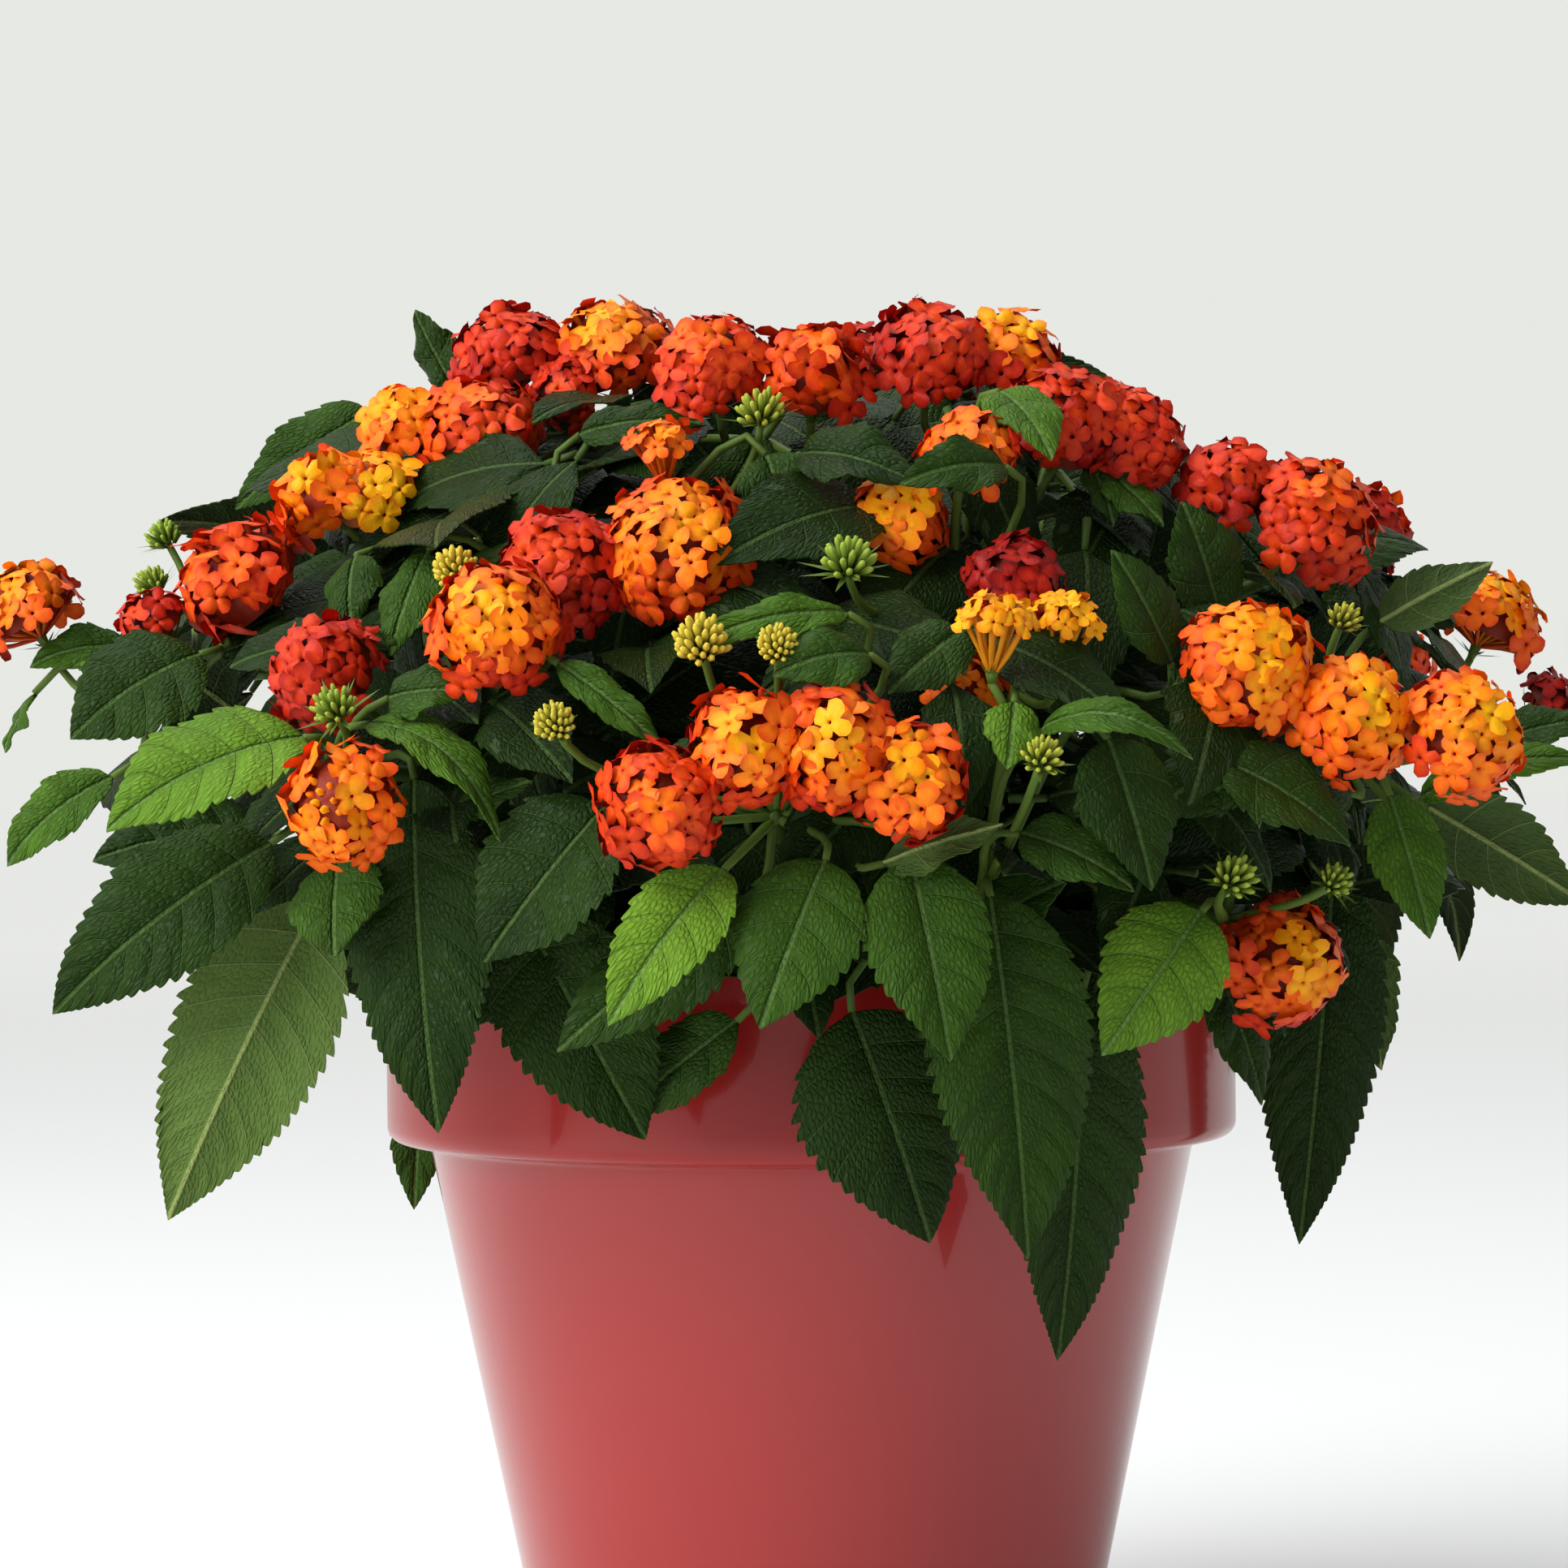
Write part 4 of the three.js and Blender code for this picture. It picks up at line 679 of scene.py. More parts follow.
def floretInto(draft, root, centre, out, size, age, draw, fine, skin):
    turns = np.linspace(0, 2 * math.pi, floret["fineTurns" if fine else "plainTurns"], endpoint=False)
    one, other = basisFor(out, draw.between(0, 6.3))
    lobes = floret["notch"] + (1 - floret["notch"]) * np.abs(np.cos(2 * turns)) ** floret["round"]
    lobes = lobes * (1 + 0.14 * np.cos(turns)) * (1 + 0.09 * np.sin(3 * turns + draw.between(0, 6)))
    cup = floret["cup"] * draw.between(-1.5, 0.7)
    ruffle = floret["ruffle"] * draw.between(0.5, 1.4)
    phase = draw.between(0, 6.3)
    rings = []
    steps = (0.0, floret["throat"], 0.5, 0.84, 1.0) if fine else (0.0, floret["throat"], 0.6, 1.0)
    for step in steps:
        reach = size * (max(step, 0.09) * (lobes if step > 0.3 else np.ones(len(turns))))
        rise = cup * step * step + ruffle * step * step * (
            0.5 * np.sin(4 * turns + phase) + 0.3 * step * step * np.sin(9 * turns + 2 * phase))
        rise = rise + 0.25 * math.exp(-((step - 0.16) / 0.1) ** 2)  # the raised lip round the mouth
        if step == 0.0:
            rise = rise - floret["depth"]
        fold = 0.3 * step * (1 - np.abs(np.cos(2 * turns)))  # each lobe is creased at its sides
        rings.append(centre + np.cos(turns)[:, None] * one * reach[:, None]
                     + np.sin(turns)[:, None] * other * reach[:, None]
                     + out * (rise - fold)[:, None])
    points = np.concatenate(rings)
    radial = np.repeat(np.array(steps), len(turns))
    shade = draw.between(0, 1)
    traits = np.stack([np.full(len(radial), age), radial, np.full(len(radial), shade),
                       np.zeros(len(radial))], axis=-1)
    local = np.concatenate([ring - centre for ring in rings])
    place = np.stack([local @ one, local @ other, np.full(len(local), shade * 91)], axis=-1)
    draft.add(points, gridFaces(len(steps), len(turns), closed=True), skin, place, traits)

    sides = np.linspace(0, 2 * math.pi, floret["tubeSides"], endpoint=False)
    circle = np.cos(sides)[:, None] * one + np.sin(sides)[:, None] * other
    bend = (root + centre) / 2 + unit(np.cross(out, one)) * 0.4
    tube = np.concatenate([root + circle * 0.4, bend + circle * floret["tube"],
                           centre - out * 0.5 + circle * 0.8])
    run = np.repeat([0.0, 0.5, 1.0], len(sides))
    tubeTraits = np.stack([np.full(len(run), age), run, np.full(len(run), shade), np.ones(len(run))], axis=-1)
    draft.add(tube, gridFaces(3, len(sides), closed=True), skin, tube, tubeTraits)


def budInto(draft, root, tip, thick, skin, traits):
    line = root + (tip - root) * np.array([0, 0.45, 0.8, 0.97])[:, None]
    points, faces = sweep(line, np.array([0.45, 0.8, 1.0, 0.55]) * thick, 5)
    run = np.repeat([0, 0, 0.45, 0.8, 1, 1], 5)
    rows = np.tile(traits, (len(points), 1)).astype(float)
    rows[:, 1] = run
    draft.add(points, faces, skin, points, rows)


def bractInto(draft, root, toward, out, length, wide, skin, tone):
    # a narrow pointed leaf of four faces that curves outward
    aside = unit(np.cross(toward, out))
    middle = root + toward * length * 0.45 + out * length * 0.06
    tip = root + toward * length + out * length * 0.26
    points = np.array([root, middle + aside * wide / 2 + out * 0.2, middle - out * 0.1,
                       middle - aside * wide / 2 + out * 0.2, tip])
    traits = np.tile([0.5, 0.1, tone, 0], (5, 1))
    draft.add(points, [[0, 1, 2], [0, 2, 3], [1, 4, 2], [2, 4, 3]], skin, points, traits)


def headInto(draft, head, others, fine, seed):
    draw = Draw(seed)
    middle, axis, radius = head["middle"], head["axis"], head["r"]
    head["basis"] = basisFor(axis, draw.between(0, 6))
    funnel = head.get("funnel", False)
    cap = headRule["funnelCap"] if funnel else headRule["cap"]
    area = 2 * math.pi * radius * radius * (1 - math.cos(math.radians(cap)))
    loose = head.get("loose", 0)
    count = round(area / floret["everyMm2"] * (1 - 0.22 * loose)) + (6 if funnel else 3)
    root = middle - axis * radius * (1.02 if funnel else 0.42)
    youth = unit(axis + vec(0, -0.35, 0)) if middle[1] < 0 else axis
    for index in range(count):
        ray = inHead(head, onCap(index, count, cap))
        ray = unit(ray + vec(draw.between(-1, 1), draw.between(-1, 1), draw.between(-1, 1)) * 0.07)
        spot = middle + ray * radius * (0.95 + draw.between(-0.07, 0.07))
        if any(np.linalg.norm(spot - other["middle"]) < 0.86 * other["r"] for other in others):
            continue
        if index < head.get("buds", 0):
            continue
        away = math.acos(clamp(float(np.dot(ray, youth)), -1, 1)) / math.radians(cap)
        grown = clamp((away - 0.06) / 0.8, 0, 1) ** 0.8 + draw.between(-0.16, 0.16)
        age = clamp(head["young"] + (head["old"] - head["young"]) * grown + draw.between(-0.04, 0.04), 0, 1)
        tilt = floret["tilt"] * (1 + loose)
        out = unit(ray + vec(draw.between(-1, 1), draw.between(-1, 1), draw.between(-1, 1)) * tilt)
        size = floret["size"] * draw.between(0.86, 1.08) * (1 + 0.1 * loose) * (0.8 if radius < 10 else 1)
        size *= 0.86 if funnel else 1
        floretInto(draft, root, spot, out, size, age, draw, fine, 0)

    # closed buds crowd the middle of a young head
    closed = 4 * head.get("buds", 0)
    budCap = math.degrees(math.acos(1 - (1 - math.cos(math.radians(cap))) * head.get("buds", 0) / count))
    for index in range(closed):
        ray = inHead(head, onCap(index, closed, budCap))
        thick = draw.between(0.75, 1.15)
        start, tip = middle + ray * radius * 0.45, middle + ray * radius * draw.between(0.86, 0.98)
        budInto(draft, start, tip, thick, 0,
                [clamp(head["young"] + draw.between(0.0, 0.4), 0, 1), 0, 0.5, 0])
    if not funnel:
        # the crowded tubes inside, as one lumpy body painted dark and old: painted shade in the gaps between
        # the florets
        rings, turns = 9, 14
        polar, around = np.meshgrid(np.linspace(0, 1.75, rings),
                                    np.linspace(0, 2 * math.pi, turns, endpoint=False), indexing="ij")
        lumps = 0.79 + 0.05 * np.sin(5 * around + 3 * polar) * np.sin(4 * polar)
        rays = (np.sin(polar) * np.cos(around), np.sin(polar) * np.sin(around), np.cos(polar))
        one, other = head["basis"]
        ball = (one * rays[0][..., None] + other * rays[1][..., None] + axis * rays[2][..., None])
        ball = (middle + ball * (lumps * radius)[..., None]).reshape(-1, 3)
        draft.add(ball, gridFaces(rings, turns, closed=True), 0, ball,
                  [clamp(head["old"] + 0.08, 0, 1), 2, 0.2, 1])
    seat = middle - axis * radius * (1.05 if funnel else 0.6)
    for index in range(bract["count"]):
        turn = 2 * math.pi * index / bract["count"] + draw.between(-0.2, 0.2)
        one, other = head["basis"]
        aside = one * math.cos(turn) + other * math.sin(turn)
        toward = unit(aside * (0.5 if funnel else 0.9) + axis * (0.9 if funnel else 0.45))
        bractInto(draft, seat, toward, aside, bract["length"] * draw.between(0.8, 1.2), bract["wide"], 1, 0.7)


def budClusterInto(draft, row, seed, skins):
    draw = Draw(seed)
    radius, ripe = row["r"], row["ripe"]
    head = {"axis": row["axis"], "basis": basisFor(row["axis"], seed)}
    root = row["middle"] - row["axis"] * radius * 0.55
    count = cluster["ripeBuds" if ripe > 0.5 else "greenBuds"]
    for index in range(count):
        ray = inHead(head, onCap(index, count, cluster["cap"]))
        tip = row["middle"] + ray * radius * draw.between(0.88, 1.06)
        thick = radius * (0.135 if ripe > 0.5 else 0.13)
        budInto(draft, root + ray * radius * 0.3, tip, thick, skins[0], [ripe, 0, draw.unit(), 0])
    for index in range(cluster["bracts"]):
        turn = index * goldenTurn
        one, other = head["basis"]
        aside = one * math.cos(turn) + other * math.sin(turn)
        toward = unit(aside + row["axis"] * draw.between(0.1, 0.9))
        length = radius * (1.5 - 0.6 * ripe) * draw.between(0.8, 1.1)
        bractInto(draft, root, toward, aside, length, cluster["bractWide"], skins[1], 0.75)


def frontBunch(row):
    _, sunk, heads = row
    depth = depthSeen(heads[0]["at"], heads[0]["r"] if sunk is None else sunk)
    for head in heads:
        head["middle"] = seenAt(head["at"], depth - head.get("out", 0))
        head["axis"] = headAxis(head["middle"], head.get("lean", leanAt(head["middle"][2])))
        head["young"], head["old"] = headAges[head["age"]]
    return heads


def backBunchesPlaced():
    draw, tints, bunches = Draw(seeds["backHeads"]), Draw(seeds["backTints"]), []
    for angle, height, count, hue in backBunches:
        heads, turn = [], draw.between(0, math.pi)
        for index in range(count):
            radius = draw.between(12.5, 15.5)
            core = atAngle(angle, outlineAt(height) - radius, height)
            axis = headAxis(core, leanAt(height))
            aside = turned(unit(np.cross(up, axis)), axis, turn + index * math.pi)
            draw.between(0, 6)  # the solids turn the head by this, and the florets have turns of their own
            young, old = hueAges[hue]
            heads.append({"middle": core + aside * (10 if index == 0 else 12), "axis": axis, "r": radius,
                          "young": clamp(young + tints.between(-0.05, 0.08), 0, 1), "old": old})
        bunches.append(heads)
    return bunches


bunches = [frontBunch(row) for row in frontBunches] + backBunchesPlaced()
bunchHues = [row[0] for row in frontBunches] + [row[3] for row in backBunches]


# Materials

class Value:
    # A socket that takes part in Python expressions, each of which adds its Math nodes
    def __init__(self, maker, socket):
        self.maker, self.socket = maker, socket

    def math(self, operation, *others):
        return self.maker.node("ShaderNodeMath", {"operation": operation}, dict(enumerate((self, *others))))

    def __add__(self, other):
        return self.math("ADD", other)

    def __radd__(self, other):
        return self.math("ADD", other)

    def __sub__(self, other):
        return self.math("SUBTRACT", other)

    def __rsub__(self, other):
        return self.maker.node("ShaderNodeMath", {"operation": "SUBTRACT"}, {0: other, 1: self})

    def __mul__(self, other):
        return self.math("MULTIPLY", other)

    def __rmul__(self, other):
        return self.math("MULTIPLY", other)

    def fract(self):
        return self.math("FRACT")

    def size(self):
        return self.math("ABSOLUTE")

    def most(self, other):
        return self.math("MAXIMUM", other)

    def ramp(self, low, high, start=0.0, end=1.0):
        # smoothly from start to end as this goes from low to high
        ends = {"Value": self, "From Min": low, "From Max": high, "To Min": start, "To Max": end}
        return self.maker.node("ShaderNodeMapRange", {"interpolation_type": "SMOOTHSTEP"}, ends)


class Nodes:
    # Adds nodes to an emptied node tree
    def __init__(self, tree):
        self.tree = tree
        tree.nodes.clear()

    def node(self, kind, settings=None, sockets=None, out=0):
        made = self.tree.nodes.new(kind)
        for name, value in (settings or {}).items():
            if name == "stops":
                for index, (place, colour) in enumerate(value):
                    stops = made.color_ramp.elements
                    stop = stops[index] if index < 2 else stops.new(place)
                    stop.position, stop.color = place, (*colour, 1)
            else:
                setattr(made, name, value)
        for name, value in (sockets or {}).items():
            if isinstance(value, Value):
                self.tree.links.new(value.socket, made.inputs[name])
            else:
                isColour = made.inputs[name].type == "RGBA"
                made.inputs[name].default_value = (*value, 1) if isColour else value
        return Value(self, made.outputs[out])

    def parts(self, kind, source):
        # the outputs of a node that takes one value apart
        taken = self.node(kind, None, {0: source}).socket.node
        return [Value(self, socket) for socket in taken.outputs]

    def attribute(self, name, out=1):
        return self.node("ShaderNodeAttribute", {"attribute_name": name}, out=out)

    def traits(self):
        colour = self.parts("ShaderNodeSeparateColor", self.attribute("traits", 0))
        return [*colour[:3], self.attribute("traits", 3)]

    def noise(self, vector, scale, detail=3.0, rough=0.55):
        return self.node("ShaderNodeTexNoise", None,
                         {"Vector": vector, "Scale": scale, "Detail": detail, "Roughness": rough})

    def mixed(self, factor, one, other):
        return self.node("ShaderNodeMix", {"data_type": "RGBA"}, {0: factor, 6: one, 7: other}, out=2)

    def scaled(self, vector, by):
        return self.node("ShaderNodeVectorMath", {"operation": "MULTIPLY"}, {0: vector, 1: by})

    def bump(self, height, distance, strength=1.0):
        return self.node("ShaderNodeBump", None,
                         {"Height": height, "Distance": distance, "Strength": strength})


class Finish(Nodes):
    # One material, made from nodes
    def __init__(self, name, colour):
        self.material = bpy.data.materials.new(name)
        self.material.use_nodes = True
        self.material.diffuse_color = (*colour, 1)
        super().__init__(self.material.node_tree)

    def shaded(self, **sockets):
        named = {key.replace("_", " ").title().replace("Ior", "IOR"): value for key, value in sockets.items()}
        shader = self.node("ShaderNodeBsdfPrincipled", None, named)
        output = self.tree.nodes.new("ShaderNodeOutputMaterial")
        self.tree.links.new(shader.socket, output.inputs["Surface"])
        return self.material


leafLook = {
    "tones": [(0.0, (0.013, 0.033, 0.005)), (0.3, (0.026, 0.064, 0.007)), (0.6, (0.058, 0.142, 0.012)),
              (1.0, (0.175, 0.350, 0.026))],
    "underTones": [(0.0, (0.038, 0.068, 0.026)), (0.5, (0.078, 0.135, 0.030)), (1.0, (0.160, 0.260, 0.050))],
    "vein": (0.16, 0.28, 0.08), "underVein": (0.30, 0.38, 0.12), "bump": 0.0006,
}


def leafFinish():
    f = Finish("leafGreen", (0.05, 0.15, 0.03))
    place = f.attribute("place")
    veins, reach, tone, under = f.traits()
    reach = reach * 20
    fromVein = ((veins + 0.5).fract() - 0.5).size() * blade["veinEvery"]
    lateral = fromVein.ramp(0.05, 0.28, 1, 0) * reach.ramp(0.2, 1.0, 0.4, 1)
    rib = reach.ramp(0.3, 0.85, 1, 0)
    vein = rib.most(lateral * 0.6)
    cells = f.node("ShaderNodeTexVoronoi", {"feature": "DISTANCE_TO_EDGE"},
                   {"Vector": f.scaled(place, (0.62, 0.9, 1.0)), "Scale": 1.0, "Randomness": 0.85})
    swollen = cells.ramp(0.0, 0.3)
    patches = f.noise(place, 0.06, 3.0)
    fine = f.noise(place, 0.9, 4.0)
    shownTone = tone + (patches - 0.5) * 0.45 + (fine - 0.5) * 0.12 - reach.ramp(0.0, 7.0, 0.05, 0.0)
    upper = f.node("ShaderNodeValToRGB", {"stops": leafLook["tones"]}, {0: shownTone})
    lower = f.node("ShaderNodeValToRGB", {"stops": leafLook["underTones"]}, {0: shownTone})
    # the creases between the swollen cells are painted darker towards black: painted shade
    upper = f.mixed((1 - swollen) * 0.24, upper, (0.0, 0.0, 0.0))
    upper = f.mixed(vein * (0.24 + 0.30 * tone), upper, leafLook["vein"])
    lower = f.mixed(vein * 0.8, lower, leafLook["underVein"])
    colour = f.mixed(under, upper, lower)
    rough = (0.38 + 0.12 * tone + (fine - 0.5) * 0.2).most(under * 0.62)
    height = swollen * 0.4 - vein * (1 - 2 * under) * 1.0 + fine * 0.1
    return f.shaded(base_color=colour, roughness=rough, normal=f.bump(height, leafLook["bump"], 1.0),
                    specular_ior_level=0.1)


# The inside colour is painted shade, the dark seen in the gaps between the florets.
petalLook = {
    "ages": [(0.0, (1.0, 0.46, 0.003)), (0.2, (1.0, 0.27, 0.002)), (0.4, (0.93, 0.130, 0.003)),
             (0.56, (0.78, 0.056, 0.003)), (0.7, (0.60, 0.024, 0.004)), (0.85, (0.38, 0.009, 0.005)),
             (1.0, (0.19, 0.004, 0.006))],
    "mouth": (0.22, 0.030, 0.005), "tube": (0.20, 0.05, 0.014), "inside": (0.12, 0.011, 0.003),
    "roughness": 0.5, "bump": 0.00022,
}


def floretFinish():
    f = Finish("floretPetal", (0.9, 0.2, 0.02))
    place = f.attribute("place")
    age, radial, shade, tube = f.traits()
    mottle = f.noise(place, 0.55, 3.0)
    shown = age + (mottle - 0.5) * 0.24 + (shade - 0.5) * 0.1
    shown = shown + radial.ramp(0.08, 0.3, 0.13, 0.0) + radial.ramp(0.6, 1.0, -0.05, 0.08)
    colour = f.node("ShaderNodeValToRGB", {"stops": petalLook["ages"]}, {0: shown})
    dark = radial.ramp(0.02, 0.10, 0.2, 0.0) * (1 - tube.ramp(0.3, 0.6))
    colour = f.mixed(dark, colour, petalLook["mouth"])
    colour = f.mixed(tube.ramp(0.6, 1.0, 0.0, 0.4), colour, petalLook["tube"])
    # the lumpy body between the florets takes the dark inside colour: painted shade
    colour = f.mixed(radial.ramp(1.4, 1.9, 0.0, 0.66), colour, petalLook["inside"])
    height = mottle * 0.7 + f.noise(place, 2.2, 2.0) * 0.3
    return f.shaded(base_color=colour, roughness=petalLook["roughness"], specular_ior_level=0.22,
                    normal=f.bump(height, petalLook["bump"], 0.7))


stemLook = {"young": (0.125, 0.205, 0.028), "dark": (0.026, 0.062, 0.010)}


def stemFinish():
    f = Finish("stemGreen", (0.1, 0.2, 0.04))
    place = f.attribute("place")
    _, _, tone, _ = f.traits()
    grain = f.noise(f.scaled(place, (1, 1, 0.25)), 0.8, 4.0)
    colour = f.mixed(tone + (grain - 0.5) * 0.4, stemLook["dark"], stemLook["young"])
    return f.shaded(base_color=colour, roughness=0.5, normal=f.bump(grain, 0.0003, 0.5),
                    specular_ior_level=0.2)


barkLook = {"grains": [(0.25, (0.05, 0.032, 0.018)), (0.55, (0.17, 0.115, 0.062)), (0.8, (0.30, 0.23, 0.14))],
            "crack": (0.02, 0.013, 0.008), "roughness": 0.85, "bump": 0.0009}


def barkFinish():
    f = Finish("barkBrown", (0.2, 0.14, 0.08))
    place = f.attribute("place")
    grain = f.noise(f.scaled(place, (1, 1, 0.2)), 0.9, 6.0, 0.65)
    cracks = f.node("ShaderNodeTexVoronoi", {"feature": "DISTANCE_TO_EDGE"},
                    {"Vector": f.scaled(place, (1, 1, 0.22)), "Scale": 0.55})
    colour = f.node("ShaderNodeValToRGB", {"stops": barkLook["grains"]}, {0: grain})
    colour = f.mixed(cracks.ramp(0.0, 0.12, 0.6, 0.0), colour, barkLook["crack"])
    relief = f.bump(grain + cracks.ramp(0, 0.2) * 0.6, barkLook["bump"])
    return f.shaded(base_color=colour, roughness=barkLook["roughness"], normal=relief)


budLook = {"greenFoot": (0.05, 0.11, 0.012), "greenTip": (0.31, 0.44, 0.05),
           "yellowFoot": (0.13, 0.14, 0.012), "yellowTip": (0.72, 0.56, 0.06)}


def budFinish():
    f = Finish("budGreenYellow", (0.5, 0.5, 0.12))
    place = f.attribute("place")
    ripe, run, shade, _ = f.traits()
    grain = f.noise(place, 1.2, 2.0)
    green = f.mixed(run, budLook["greenFoot"], budLook["greenTip"])
    yellow = f.mixed(run.ramp(0.3, 0.95), budLook["yellowFoot"], budLook["yellowTip"])
    colour = f.mixed(ripe + (shade - 0.5) * 0.2, green, yellow)
    return f.shaded(base_color=colour, roughness=0.55, normal=f.bump(grain, 0.0002, 0.5),
                    specular_ior_level=0.2)


# The collar colour is painted shade: a deeper red for the shade and dark reflection of the leaves over the
# collar.
glaze = {"colour": (0.39, 0.030, 0.029), "deep": (0.33, 0.022, 0.021), "collar": (0.34, 0.010, 0.008),
         "collarShadeFrom": (0.130, 0.140), "roughness": 0.2}


def glazeFinish():
    f = Finish("potGlaze", glaze["colour"])
    where = f.node("ShaderNodeTexCoord", out=3)
    clouds = f.noise(where, 9.0, 3.0)
    pits = f.noise(where, 420.0, 2.0)
    colour = f.mixed(clouds.ramp(0.3, 0.75, 0.0, 0.3), glaze["colour"], glaze["deep"])
    # from the collar up the glaze is painted a deeper red: painted shade of the leaves over it
    collar = f.parts("ShaderNodeSeparateXYZ", where)[2].ramp(*glaze["collarShadeFrom"])
    colour = f.mixed(collar * 0.8, colour, glaze["collar"])
    rough = glaze["roughness"] + (clouds - 0.5) * 0.08 + pits * 0.03
    return f.shaded(base_color=colour, roughness=rough, coat_weight=0.6 - 0.35 * collar, coat_roughness=0.025,
                    coat_ior=1.5, specular_ior_level=0.3,
                    normal=f.bump(clouds * 4 + pits * 0.1, 0.0004, 0.25))


soilLook = {"grains": [(0.3, (0.012, 0.008, 0.005)), (0.6, (0.055, 0.036, 0.022)),
                       (0.85, (0.16, 0.11, 0.07))],
            "roughness": 0.95, "bump": 0.002}


def soilFinish():
    f = Finish("soilDark", (0.06, 0.04, 0.03))
    place = f.attribute("place")
    grain = f.noise(place, 0.5, 8.0, 0.7)
    colour = f.node("ShaderNodeValToRGB", {"stops": soilLook["grains"]}, {0: grain})
    relief = f.bump(grain, soilLook["bump"])
    return f.shaded(base_color=colour, roughness=soilLook["roughness"], normal=relief)


finishes = {"leaf": leafFinish(), "petal": floretFinish(), "stem": stemFinish(), "bark": barkFinish(),
            "bud": budFinish(), "glaze": glazeFinish(), "soil": soilFinish()}
print("made", len(finishes), "finishes")


# The leafy shoots: stem, stalks, petioles, leaves and bud clusters

drafts = {name: Draft("shoot." + name) for name in shootNames}
leafSkin, stemSkin, budSkin = 0, 1, 2
counts = {"leaves": 0, "unplaced": 0}


def petioleInto(draft, leaf, way):
    stalkInto(draft, way, stalk["petiole"], stemSkin, 0.35 + 0.5 * leaf["tone"], 6, 6)


def placeLeaf(leaf, seed):
    for trial in leafTries(leaf):
        shoot = corners.shootAt(trial["tip"])
        if shoot is None:
            continue
        rib = bladeFrame(trial)[2]
        chosen = chosenWay(trial["base"], rib.heading(0), stalk["petioleSpan"], shoot)
        draft = drafts[shootNames[shoot]]
        leafInto(draft, trial, leafSkin, seed)
        if chosen:
            petioleInto(draft, trial, chosen[1])
        counts["leaves"] += 1
        return
    counts["unplaced"] += 1


for index, row in enumerate(frontLeaves):
    placeLeaf(frontLeaf(row, index), 11 + index)
for shoot in range(len(shootNames)):
    for index, leaf in enumerate(pairLeaves(shoot)):
        placeLeaf(leaf, 301 + 17 * shoot + index)
print("leaves", counts)

# small leaves stand where they are seen, on the nearest stem
for index, row in enumerate(smallLeaves):
    leaf = frontLeaf(row, 200 + index)
    rib = bladeFrame(leaf)[2]
    shoot, way = chosenWay(leaf["base"], rib.heading(0), stalk["petioleSpan"])
    leafInto(drafts[shootNames[shoot]], leaf, leafSkin, 700 + index)
    petioleInto(drafts[shootNames[shoot]], leaf, way)

for index, curve in enumerate(stems):
    draft = drafts[shootNames[index]]
    stalkInto(draft, curve, (limb["stem"] * 1.05, limb["stem"] * 0.66), stemSkin, 0.45, 18, 8, 0.05)

for heads in bunches:
    for head in heads:
        seat = headRule["funnelSeat"] if head.get("funnel") else headRule["seat"]
        goal = head["middle"] - head["axis"] * (seat * head["r"] + 1.5 * limb["clear"])
        shoot, way = chosenWay(goal, head["axis"], stalk["span"], byLength=True)
        draft = drafts[shootNames[shoot]]
        stalkInto(draft, way, stalk["flower"], stemSkin, 0.75, 10, 6, 0.04)
        stalkInto(draft, Curve(goal, goal + head["axis"] * head["r"] * 0.3), stalk["seat"], stemSkin, 0.8, 2)

for index, row in enumerate(budClusters + smallBuds):
    row["middle"] = seenAt(row["at"], depthSeen(row["at"], 1.5 * row["r"]))
    row["axis"] = headAxis(row["middle"], 0.7 * leanAt(row["middle"][2]))
    shoot, way = chosenWay(row["middle"], row["axis"], stalk["span"], byLength=True)
    draft = drafts[shootNames[shoot]]
    stalkInto(draft, way, stalk["bud"], stemSkin, 0.7, 9, 6)
    budClusterInto(draft, row, 61 + index, (budSkin, stemSkin))

for name, draft in drafts.items():
    draft.build([finishes["leaf"], finishes["stem"], finishes["bud"]], "leaf", "shoot_" + name)
print("grew", len(drafts), "shoots")


# Inner leaves, which fill the shade under the outer ones

# Inner leaves take tones from 0 up to the inner tone only: their dark colour is painted shade.
inner = {"perStem": 5, "dome": 190, "core": 110, "short": 30, "long": 50, "from": 0.1, "to": 0.95,
         "spare": 14, "low": 168, "high": 312, "deep": (20, 46), "tone": 0.22,
         "back": 24, "sparse": 0.86, "least": 16,
         "coreReach": 118, "coreHeights": (176, 262), "coreLengths": (40, 60)}


def innerLeaf(draft, node, toward, length, face, seed):
    # a plain leaf, painted dark as shade, on a short petiole that starts at the node, kept inside the outline
    base = node + toward * 8
    for _ in range(12):
        tip = base + toward * length
        if math.hypot(tip[0], tip[1]) < outlineAt(tip[2]) - inner["spare"] and tip[2] < inner["high"]:
            break
        length *= 0.9
    if length < inner["least"]:
        return
    draw = Draw(seed)
    leaf = {"base": base, "tip": tip, "face": face, "arch": 0.1, "wide": length * 0.6,
            "tone": draw.between(0.0, inner["tone"]), "quilt": 1, "grade": "inner", **leafTraits(seed)}
    leafInto(draft, leaf, leafSkin, 1500 + seed % 997)
    stalkInto(draft, Curve(node, node + toward * 4, base), stalk["inner"], stemSkin, 0.2, 2, 5)


